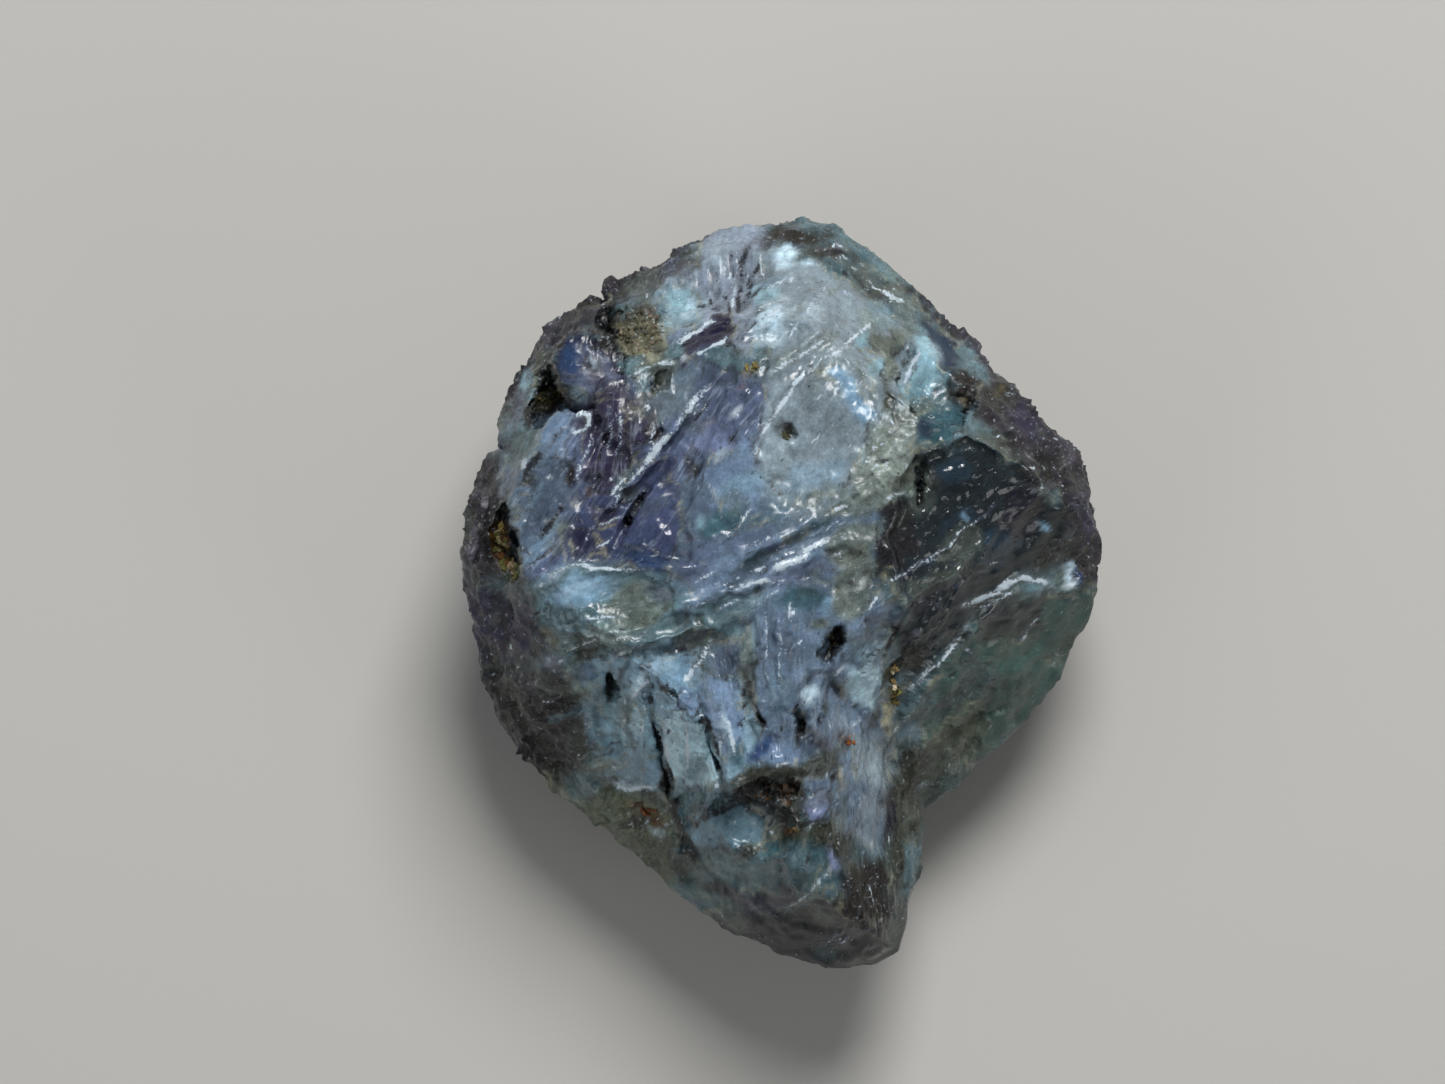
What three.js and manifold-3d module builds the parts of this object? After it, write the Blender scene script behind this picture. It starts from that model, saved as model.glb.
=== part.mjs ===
// A rough alexandrite crystal lying on its flat back, as one faceted solid.
// Millimetres, +Z up. The broad front looks up, +Y runs to the wide crown and -Y to the narrow foot.
// The origin is on the plane that the crystal rests on, under the middle of its outline.

import * as THREE from "three";
import { ConvexGeometry } from "three/addons/geometries/ConvexGeometry.js";
import { mergeVertices } from "three/addons/utils/BufferGeometryUtils.js";
import Module from "manifold-3d";

// Driving dimensions of the whole crystal
const length = 7.54;
const width = 6.45;
const thickness = 3.96;
const edgeRise = 0.06; // how far the tallest raised edge stands over the front's highest face
const top = thickness - edgeRise;

// The crown is the wide block that holds most of the crystal. Its outline goes clockwise, seen from above.
// Each side starts at (x, y) with its widest line at height z, slopes in above it by "up" and below it by
// "under", both in degrees from level.
const crownSides = [
  { x: 0.285, y: length / 2, z: 2.05, up: 58, under: 80 },
  { x: 0.6, y: 3.68, z: 2.0, up: 60, under: 76 },
  { x: 1.42, y: 3.0, z: 2.05, up: 63, under: 76 },
  { x: 2.4, y: 2.01, z: 2.25, up: 67, under: 78 },
  { x: 2.925, y: 1.48, z: 2.3, up: 69, under: 80 },
  { x: 3.125, y: 1.04, z: 2.15, up: 71, under: 80 },
  { x: width / 2, y: 0.54, z: 1.9, up: 70, under: 78 },
  { x: 3.145, y: -0.21, z: 1.6, up: 56, under: 74 },
  { x: 2.845, y: -0.81, z: 1.45, up: 53, under: 72 },
  { x: 2.5, y: -1.3, z: 1.4, up: 52, under: 72 },
  { x: 1.63, y: -2.07, z: 1.4, up: 55, under: 66 },
  { x: 0.6, y: -2.9, z: 1.4, up: 50, under: 60 },
  { x: -0.2, y: -3.1, z: 1.4, up: 50, under: 60 },
  { x: -1.01, y: -3.04, z: 1.45, up: 52, under: 64 },
  { x: -1.455, y: -2.68, z: 1.5, up: 58, under: 72 },
  { x: -2.255, y: -2.02, z: 1.45, up: 62, under: 76 },
  { x: -2.65, y: -1.68, z: 1.45, up: 64, under: 78 },
  { x: -2.85, y: -1.25, z: 1.5, up: 66, under: 80 },
  { x: -3.0, y: -0.71, z: 1.65, up: 70, under: 82 },
  { x: -3.13, y: -0.06, z: 1.85, up: 73, under: 82 },
  { x: -width / 2, y: 0.44, z: 2.0, up: 74, under: 80 },
  { x: -3.095, y: 0.94, z: 2.1, up: 72, under: 78 },
  { x: -2.65, y: 2.08, z: 2.15, up: 68, under: 78 },
  { x: -2.425, y: 2.55, z: 2.1, up: 64, under: 76 },
  { x: -2.075, y: 2.88, z: 2.05, up: 60, under: 76 },
  { x: -1.01, y: 3.45, z: 2.05, up: 57, under: 80 },
  { x: -0.61, y: 3.62, z: 2.05, up: 57, under: 82 },
];

// The foot is the narrow blunt block that the crown tapers into. Its wide end is inside the crown.
const footSides = [
  { x: 1.45, y: -1.9, z: 1.5, up: 64, under: 72 },
  { x: 1.43, y: -2.4, z: 1.5, up: 66, under: 72 },
  { x: 1.405, y: -2.7, z: 1.55, up: 68, under: 72 },
  { x: 1.305, y: -3.24, z: 1.6, up: 68, under: 70 },
  { x: 1.255, y: -3.59, z: 1.65, up: 66, under: 68 },
  { x: 0.98, y: -3.75, z: 1.65, up: 64, under: 68 },
  { x: 0.535, y: -length / 2, z: 1.65, up: 64, under: 68 },
  { x: -0.015, y: -3.62, z: 1.6, up: 62, under: 66 },
  { x: -0.61, y: -3.39, z: 1.55, up: 60, under: 66 },
  { x: -1.01, y: -3.04, z: 1.5, up: 60, under: 66 },
  { x: -1.455, y: -2.65, z: 1.5, up: 60, under: 66 },
  { x: -1.9, y: 0.3, z: 1.8, up: 70, under: 80 },
  { x: 1.3, y: 0.5, z: 1.8, up: 70, under: 80 },
];

// Flat faces on the front: each passes through "at" and falls by "dip" degrees towards "falls", in degrees
// anticlockwise from +X.
const crownFaces = {
  centre: { at: [0.35, 1.3, top], falls: 300, dip: 2 },
  violet: { at: [-0.6, 1.3, top - 0.03], falls: 165, dip: 12 },
  upperRight: { at: [0.9, 1.9, top - 0.04], falls: 58, dip: 16 },
  darkRight: { at: [1.15, 0.5, top - 0.06], falls: 352, dip: 21 },
  lowerRight: { at: [1.2, -0.8, top - 0.24], falls: 310, dip: 34 },
  columns: { at: [-0.4, 0.1, top - 0.04], falls: 264, dip: 10 },
  lowerLeft: { at: [-1.75, -0.6, top - 0.28], falls: 212, dip: 40 },
  crest: { at: [0.2, 2.75, top - 0.18], falls: 98, dip: 30 },
  shoulder: { at: [-1.6, 2.45, top - 0.42], falls: 132, dip: 40 },
};
const footFaces = {
  columns: { ...crownFaces.columns, at: [-0.4, 0.1, top - 0.1] },
  slope: { at: [0.1, -2.2, top - 0.46], falls: 272, dip: 29 },
  flank: { at: [1.0, -2.4, top - 0.7], falls: 345, dip: 42 },
  leftFlank: { at: [-0.85, -2.4, top - 0.75], falls: 222, dip: 40 },
};

// Flat chips off the underside, which meet the resting plane in a line through "at"
const underFaces = {
  right: { at: [2.4, 0.6, 0], falls: 5, dip: 48 },
  upperRight: { at: [1.5, 2.0, 0], falls: 46, dip: 38 },
  upper: { at: [-0.2, 2.75, 0], falls: 95, dip: 46 },
  left: { at: [-2.35, 0.6, 0], falls: 176, dip: 44 },
  lowerLeft: { at: [-1.75, -1.4, 0], falls: 214, dip: 36 },
  foot: { at: [0.1, -2.35, 0], falls: 268, dip: 34 },
  lowerRight: { at: [1.75, -0.95, 0], falls: 320, dip: 40 },
};

// Parts of the front that broke away and lie lower: "depth" under the face round them, inside the outline
const setbacks = {
  violetFace: {
    depth: 0.1,
    outline: [
      [-2.75, 0.02], [-1.9, 0.23], [-1.4, 0.28], [-0.8, 0.24], [-0.92, 0.75], [-0.72, 1.35],
      [-0.42, 2.05], [-0.4, 2.5], [-1.2, 2.45], [-1.75, 2.2], [-2.3, 2.2], [-3.2, 1.6], [-3.2, 0.3],
    ],
  },
  darkFace: {
    depth: 0.16,
    outline: [
      [1.0, 0.3], [0.95, 0.85], [1.25, 1.3], [1.85, 1.55], [2.35, 1.3], [2.8, 0.9], [2.9, 0.3],
      [2.2, 0.02], [1.7, -0.12], [1.15, -0.3],
    ],
  },
  columnFace: {
    depth: 0.1,
    outline: [
      [-2.0, -0.75], [-1.4, -0.55], [-0.8, -0.38], [-0.22, -0.22], [-0.05, -1.0], [-0.12, -2.15],
      [-0.9, -2.15], [-1.45, -2.1], [-1.85, -1.65],
    ],
  },
};

// Shell-shaped scoops of the glassy fracture: centre, half sizes along and across, turn in degrees, and depth
const scoops = {
  topBright: { at: [-0.1, 2.62], half: [0.34, 0.2], turn: 15, depth: 0.09 },
  rightLens: { at: [1.52, 2.22], half: [0.42, 0.27], turn: 110, depth: 0.1 },
  centreLens: { at: [0.3, 1.3], half: [0.62, 0.4], turn: 60, depth: 0.06 },
  milkyBand: { at: [-1.75, -0.1], half: [0.55, 0.26], turn: 4, depth: 0.08 },
  roundFacet: { at: [-0.5, -2.38], half: [0.46, 0.28], turn: 8, depth: 0.12 },
};

// Etched pits and cavities: centre, half sizes along and across, turn in degrees, and depth below the surface
const pits = {
  amberPit: { at: [-2.72, 0.46], half: [0.48, 0.17], turn: 98, depth: 0.42 },
  beadHollow: { at: [-2.3, 2.02], half: [0.34, 0.24], turn: 70, depth: 0.42 },
  beadSocket: { at: [-1.9, 2.2], half: [0.46, 0.4], turn: 125, depth: 0.24 },
  grainGap: { at: [-1.7, 2.66], half: [0.28, 0.13], turn: 118, depth: 0.34 },
  violetHole: { at: [-1.22, 2.08], half: [0.2, 0.1], turn: 60, depth: 0.24 },
  ovalHole: { at: [-1.19, 1.55], half: [0.12, 0.08], turn: 80, depth: 0.16 },
  brownDot: { at: [0.06, 1.55], half: [0.11, 0.08], turn: 110, depth: 0.14 },
  rimHole: { at: [1.87, 1.98], half: [0.21, 0.12], turn: 80, depth: 0.24 },
  darkHole: { at: [0.51, -0.52], half: [0.28, 0.12], turn: 78, depth: 0.36 },
  brownCavity: { at: [-0.13, -1.98], half: [0.32, 0.19], turn: 8, depth: 0.32 },
  columnHole: { at: [-1.69, -0.98], half: [0.16, 0.08], turn: 95, depth: 0.2 },
  lowHole: { at: [0.2, -1.25], half: [0.15, 0.1], turn: 80, depth: 0.2 },
  crestHollow: { at: [0.95, 2.72], half: [0.36, 0.16], turn: 160, depth: 0.22 },
  crestGroove: { at: [0.35, 3.22], half: [0.52, 0.14], turn: 170, depth: 0.22 },
  leftScar: { at: [-2.45, -0.6], half: [0.4, 0.2], turn: 100, depth: 0.2 },
};

// Shallow broken scars on the steep sides, above and below the widest line. Each is cut by a ball whose centre
// is outside: its half sizes along the side, into it and upright, and the direction faced, in degrees
const sideScars = {
  rightUpper: { at: [2.99, 1.25, 3.1], half: [0.9, 0.42, 0.6], facing: 24 },
  rightLower: { at: [3.38, 0.5, 0.95], half: [0.95, 0.52, 0.65], facing: 5 },
  leftUpper: { at: [-3.03, -0.4, 2.75], half: [0.7, 0.4, 0.6], facing: 170 },
  leftLower: { at: [-3.33, 0.7, 1.0], half: [0.9, 0.5, 0.62], facing: 175 },
  crownUpper: { at: [-0.7, 3.27, 2.95], half: [0.9, 0.42, 0.5], facing: 113 },
  crownLower: { at: [1.97, 2.56, 0.95], half: [1.0, 0.5, 0.62], facing: 45 },
  neckLower: { at: [2.12, -1.73, 0.75], half: [0.8, 0.45, 0.52], facing: 318 },
  shoulderLower: { at: [-2.32, 2.78, 1.05], half: [0.8, 0.5, 0.62], facing: 135 },
};

// Narrow cracks and the grooves between the columns: points from end to end, width and depth at the middle
const cracks = {
  firstColumn: { line: [[-1.75, -0.62], [-1.68, -1.2], [-1.56, -1.85]], wide: 0.16, deep: 0.26 },
  secondColumn: { line: [[-1.38, -0.5], [-1.24, -1.3], [-1.1, -2.02]], wide: 0.16, deep: 0.34 },
  thirdColumn: { line: [[-0.98, -0.5], [-0.74, -1.3], [-0.6, -1.95]], wide: 0.15, deep: 0.32 },
  fourthColumn: { line: [[-0.58, -0.4], [-0.4, -1.05], [-0.26, -1.6]], wide: 0.14, deep: 0.26 },
  fifthColumn: { line: [[-0.12, -0.2], [-0.06, -0.9], [-0.04, -1.6]], wide: 0.16, deep: 0.26 },
  sixthColumn: { line: [[0.48, -0.8], [0.4, -1.5], [0.36, -2.15]], wide: 0.16, deep: 0.24 },
  seventhColumn: { line: [[1.08, -0.1], [1.12, -0.8], [1.12, -1.45], [0.98, -2.7]], wide: 0.16, deep: 0.24 },
  violetCut: { line: [[-1.3, 1.08], [-1.46, 0.76], [-1.62, 0.46]], wide: 0.1, deep: 0.22 },
  violetSeam: { line: [[-0.85, 1.75], [-1.25, 1.2], [-1.95, 0.55]], wide: 0.12, deep: 0.2 },
  darkFissure: { line: [[1.4, 1.32], [1.38, 1.08], [1.36, 0.82]], wide: 0.1, deep: 0.32 },
  footCrack: { line: [[-1.0, -2.0], [-0.92, -2.35], [-0.98, -2.7]], wide: 0.12, deep: 0.2 },
};

// Raised edges where layers broke off: points along the crest and width at the foot
const ridges = {
  violetLedge: { line: [[-2.4, 0.02], [-1.92, 0.22], [-1.4, 0.29], [-0.8, 0.25]], wide: 0.2 },
  blade: { line: [[-0.5, 2.2], [-0.95, 1.75], [-1.25, 1.32]], wide: 0.18 },
  secondBlade: { line: [[-0.18, 1.96], [-0.4, 1.62], [-0.62, 1.28]], wide: 0.16 },
  longEdge: { line: [[0.62, 2.45], [0.25, 2.18], [-0.05, 1.95], [-0.38, 1.32]], wide: 0.12 },
  upperEdge: { line: [[0.92, 3.09], [0.4, 2.6], [-0.05, 2.2], [-0.35, 1.98]], wide: 0.14 },
  foldEdge: { line: [[-1.55, -0.35], [-0.9, -0.1], [-0.4, 0.02], [0.1, 0.3], [0.7, 0.55]], wide: 0.2 },
  foldGlint: { line: [[-0.5, 0.3], [-0.05, 0.5], [0.45, 0.78], [0.95, 1.15]], wide: 0.14 },
  bandEdge: { line: [[-2.3, -0.35], [-1.6, -0.55], [-0.95, -0.4], [-0.5, -0.25]], wide: 0.16 },
  lobeEdge: { line: [[2.86, 0.14], [2.3, -0.02], [1.85, -0.42], [1.5, -0.8], [1.22, -1.3]], wide: 0.18 },
};

// Growth hillocks, and a grain of the host rock that the crystal grew round, all one with the crystal
const lumps = {
  bead: { at: [-1.9, 2.22], half: [0.36, 0.29], turn: 125, high: 0.24 },
  beadTail: { at: [-1.55, 1.7], half: [0.42, 0.2], turn: 118, high: 0.12 },
  hostGrain: { at: [-1.38, 2.62], half: [0.32, 0.26], turn: 60, high: 0.18 },
  lobeKnob: { at: [2.93, 0.12], half: [0.17, 0.12], turn: 60, high: 0.1 },
  crestLip: { at: [0.35, 3.42], half: [0.55, 0.14], turn: 170, high: 0.12 },
  leftFlake: { at: [-3.0, 0.62], half: [0.34, 0.1], turn: 75, high: 0.16 },
};

// Notches that bite into the outline, as upright wedges: tip, half angle and direction faced, in degrees
const notches = {
  left: { tip: [-2.72, 1.45], halfAngle: 40, facing: 152 },
  upperLeft: { tip: [-1.74, 2.86], halfAngle: 38, facing: 120 },
};

const degree = Math.PI / 180;
const reach = 20; // size of the blocks that cut a plane, well past the crystal
const chipping = 0.07; // how far a broken ball's corners move in and out, as a share of its radius
const buried = 0.25; // how deep the foot of a raised edge is sunk
const clearance = 0.15; // how far a crack's cutter stands over the face

const wasm = await Module();
wasm.setup();

// A closed three.js geometry as a solid that can be joined and cut
function solidOf(geometry) {
  geometry.deleteAttribute("normal");
  geometry.deleteAttribute("uv");
  const merged = mergeVertices(geometry, 1e-5);
  return new wasm.Manifold(
    new wasm.Mesh({
      numProp: 3,
      vertProperties: merged.attributes.position.array,
      triVerts: new Uint32Array(merged.index.array),
    }),
  );
}

// The height of a sloping face over (x, y)
function faceHeight({ at, falls, dip }, x, y) {
  const along = (x - at[0]) * Math.cos(falls * degree) + (y - at[1]) * Math.sin(falls * degree);
  return at[2] - along * Math.tan(dip * degree);
}

// The heights over (x, y) of a side's two planes, above and below its widest line
function sideHeights(side, next, x, y) {
  const run = Math.hypot(next.x - side.x, next.y - side.y);
  const tx = (next.x - side.x) / run;
  const ty = (next.y - side.y) / run;
  const along = (x - side.x) * tx + (y - side.y) * ty;
  const inward = (x - side.x) * ty - (y - side.y) * tx;
  const widest = side.z + ((next.z - side.z) * along) / run;
  return {
    upper: widest + inward * Math.tan(side.up * degree),
    lower: widest - inward * Math.tan(side.under * degree),
  };
}

// Everything above (way 1) or below (way -1) the plane z = height(x, y), as a big sheared box
function beyond(height, way) {
  const box = new THREE.BoxGeometry(reach, reach, reach);
  const position = box.attributes.position;
  for (let i = 0; i < position.count; i++) {
    const edge = height(position.getX(i), position.getY(i));
    const isNear = position.getZ(i) * way < 0;
    position.setZ(i, isNear ? edge : edge + way * 2 * reach);
  }
  return solidOf(box);
}

// A convex block: a slab cut by every side's two planes and every front face
function block(sides, faces) {
  let made = solidOf(new THREE.BoxGeometry(reach, reach, top).translate(0, 0, top / 2));
  sides.forEach((side, i) => {
    const next = sides[(i + 1) % sides.length];
    made = made.subtract(beyond((x, y) => sideHeights(side, next, x, y).upper, 1));
    made = made.subtract(beyond((x, y) => sideHeights(side, next, x, y).lower, -1));
  });
  for (const face of Object.values(faces)) made = made.subtract(beyond((x, y) => faceHeight(face, x, y), 1));
  return made;
}

// The height of a block's front over (x, y)
function blockHeight(sides, faces, x, y) {
  const fromSides = sides.map((side, i) => sideHeights(side, sides[(i + 1) % sides.length], x, y).upper);
  const fromFaces = Object.values(faces).map((face) => faceHeight(face, x, y));
  return Math.min(top, ...fromSides, ...fromFaces);
}

// The height of the whole front over (x, y), before it is broken and pitted
function frontHeight(x, y) {
  return Math.max(blockHeight(crownSides, crownFaces, x, y), blockHeight(footSides, footFaces, x, y));
}

// The upper part of an outline's upright prism, down to "depth" under the front face that is there
function setbackCut({ outline, depth }) {
  const shape = new THREE.Shape(outline.map(([x, y]) => new THREE.Vector2(x, y)));
  const prism = solidOf(new THREE.ExtrudeGeometry(shape, { depth: reach, bevelEnabled: false }));
  const share = 1 / outline.length;
  const middle = outline.reduce(([sx, sy], [x, y]) => [sx + x * share, sy + y * share], [0, 0]);
  const heights = (face) => faceHeight(face, ...middle);
  const lowest = Object.values(crownFaces).reduce((a, b) => (heights(a) < heights(b) ? a : b));
  return prism.intersect(beyond((x, y) => faceHeight(lowest, x, y) - depth, 1));
}

// A smooth ball stretched to half sizes, turned about Z and set at a point
function ellipsoid([x, y, z], [along, across, upright], turn) {
  const ball = new THREE.SphereGeometry(1, 20, 12);
  ball.rotateX(Math.PI / 2).scale(along, across, upright);
  return solidOf(ball.rotateZ(turn * degree).translate(x, y, z));
}

// The same with a broken skin: the corners of an icosphere move in and out by a sum of waves
function brokenBall([x, y, z], [along, across, upright], turn) {
  const ball = new THREE.IcosahedronGeometry(1, 2);
  const position = ball.attributes.position;
  const corner = new THREE.Vector3();
  for (let i = 0; i < position.count; i++) {
    corner.fromBufferAttribute(position, i);
    const levelWaves = Math.sin(3.1 * corner.x + 5 * x) + Math.sin(4.3 * corner.y + 7 * y);
    corner.multiplyScalar(1 + chipping * (levelWaves + Math.sin(3.7 * corner.z + z)));
    position.setXYZ(i, corner.x, corner.y, corner.z);
  }
  ball.scale(along, across, upright);
  return solidOf(ball.rotateZ(turn * degree).translate(x, y, z));
}

// A shallow bowl: the cap of a wide ellipsoid whose rim has the stated half sizes
function scoopCut({ at, half, turn, depth }) {
  const capShare = 0.3;
  const upright = depth / capShare;
  const widen = 1 / Math.sqrt(1 - (1 - capShare) ** 2);
  const middle = frontHeight(...at) - depth + upright;
  return ellipsoid([...at, middle], [half[0] * widen, half[1] * widen, upright], turn);
}

function pitCut({ at, half, turn, depth }) {
  return brokenBall([...at, frontHeight(...at)], [...half, depth], turn);
}

function scarCut({ at, half, facing }) {
  return brokenBall(at, half, facing - 90);
}

function lumpOn({ at, half, turn, high }) {
  return brokenBall([...at, frontHeight(...at) - high], [...half, high * 2], turn);
}

// The convex hull of a few corners
function bar(corners) {
  return solidOf(new ConvexGeometry(corners.map((corner) => new THREE.Vector3(...corner))));
}

// A row of bars along a line on the front. profile(isInside) gives the cross-section there as pairs of
// distance aside and height over the front; the two ends of the line aren't inside.
function alongLine(line, profile) {
  const bars = [];
  for (let i = 0; i + 1 < line.length; i++) {
    const [[ax, ay], [bx, by]] = [line[i], line[i + 1]];
    const run = Math.hypot(bx - ax, by - ay);
    const [sx, sy] = [-(by - ay) / run, (bx - ax) / run];
    const section = ([x, y], isInside) =>
      profile(isInside).map(([aside, rise]) => [x + sx * aside, y + sy * aside, frontHeight(x, y) + rise]);
    bars.push(bar([...section(line[i], i > 0), ...section(line[i + 1], i + 2 < line.length)]));
  }
  return bars.reduce((a, b) => a.add(b));
}

// A V-shaped groove that closes towards both ends
function crackCut({ line, wide, deep }) {
  return alongLine(line, (isInside) => {
    const half = wide * (isInside ? 0.5 : 0.15);
    return [[-half, clearance], [half, clearance], [0, -deep * (isInside ? 1 : 0.3)]];
  });
}

// A roof-shaped edge whose foot is sunk in the face
function ridgeOn({ line, wide }) {
  return alongLine(line, (isInside) => {
    const half = wide * (isInside ? 0.5 : 0.25);
    return [[-half, -buried], [half, -buried], [0, isInside ? edgeRise : 0]];
  });
}

// An upright wedge that opens outwards from its tip
function notchCut({ tip, halfAngle, facing }) {
  const far = 1.5;
  const arm = (angle) => [tip[0] + far * Math.cos(angle * degree), tip[1] + far * Math.sin(angle * degree)];
  const corners = [tip, arm(facing - halfAngle), arm(facing + halfAngle)];
  return bar([-1, thickness + 1].flatMap((z) => corners.map((corner) => [...corner, z])));
}

function crystal() {
  let made = block(crownSides, crownFaces).add(block(footSides, footFaces));
  for (const face of Object.values(underFaces)) {
    made = made.subtract(beyond((x, y) => -faceHeight(face, x, y), -1));
  }
  for (const setback of Object.values(setbacks)) made = made.subtract(setbackCut(setback));
  for (const scoop of Object.values(scoops)) made = made.subtract(scoopCut(scoop));
  for (const ridge of Object.values(ridges)) made = made.add(ridgeOn(ridge));
  for (const crack of Object.values(cracks)) made = made.subtract(crackCut(crack));
  for (const pit of Object.values(pits)) made = made.subtract(pitCut(pit));
  for (const scar of Object.values(sideScars)) made = made.subtract(scarCut(scar));
  for (const lump of Object.values(lumps)) made = made.add(lumpOn(lump));
  for (const notch of Object.values(notches)) made = made.subtract(notchCut(notch));
  return made;
}

// A solid as a three.js geometry with flat-shaded faces
function geometryOf(made) {
  const mesh = made.getMesh();
  const geometry = new THREE.BufferGeometry();
  geometry.setAttribute("position", new THREE.BufferAttribute(new Float32Array(mesh.vertProperties), 3));
  geometry.setIndex(new THREE.BufferAttribute(new Uint32Array(mesh.triVerts), 1));
  const flat = geometry.toNonIndexed();
  flat.computeVertexNormals();
  return flat;
}

const alexandrite = new THREE.MeshStandardMaterial({ color: 0x5f7482, roughness: 0.25, metalness: 0 });

const specimen = new THREE.Group();
const stone = new THREE.Mesh(geometryOf(crystal()), alexandrite);
stone.name = "crystal";
specimen.add(stone);

export default specimen;
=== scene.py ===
import bpy
import math
import numpy as np
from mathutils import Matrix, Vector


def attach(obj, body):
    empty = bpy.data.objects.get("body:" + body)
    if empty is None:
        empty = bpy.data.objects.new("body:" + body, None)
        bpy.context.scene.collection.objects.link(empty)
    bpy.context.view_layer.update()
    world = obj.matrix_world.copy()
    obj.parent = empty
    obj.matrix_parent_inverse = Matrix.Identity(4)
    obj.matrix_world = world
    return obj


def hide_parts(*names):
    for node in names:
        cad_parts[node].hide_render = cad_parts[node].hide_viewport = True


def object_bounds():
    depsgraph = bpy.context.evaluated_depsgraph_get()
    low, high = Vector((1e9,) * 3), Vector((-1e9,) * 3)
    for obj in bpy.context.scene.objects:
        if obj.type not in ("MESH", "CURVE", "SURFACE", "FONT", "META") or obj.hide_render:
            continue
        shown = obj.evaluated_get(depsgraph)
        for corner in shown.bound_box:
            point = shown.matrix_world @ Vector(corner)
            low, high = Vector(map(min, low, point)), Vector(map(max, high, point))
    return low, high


# A rough alexandrite crystal. It lies on its flat back, and the camera looks straight down on its front.
# Values are in millimetres, degrees and sRGB hex, but the places and half sizes of areas, patches and single
# strokes are in hundredths of a millimetre. The meshes are scaled to metres when they are made.
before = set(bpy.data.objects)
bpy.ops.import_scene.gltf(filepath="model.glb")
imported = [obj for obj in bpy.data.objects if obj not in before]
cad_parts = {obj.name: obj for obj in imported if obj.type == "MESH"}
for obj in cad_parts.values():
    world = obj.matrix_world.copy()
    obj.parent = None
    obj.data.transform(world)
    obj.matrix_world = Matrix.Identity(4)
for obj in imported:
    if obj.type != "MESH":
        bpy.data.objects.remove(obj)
cadLow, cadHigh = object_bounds()
metre = 1000  # mm
hundredths = 100  # of a mm, in a mm
half = {"width": cadHigh.x * metre, "length": cadHigh.y * metre}
thickness = cadHigh.z * metre
edgeRise = 0.06  # the tallest raised edge over the highest face
top = thickness - edgeRise
print("frame loaded:", sorted(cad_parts))

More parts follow.
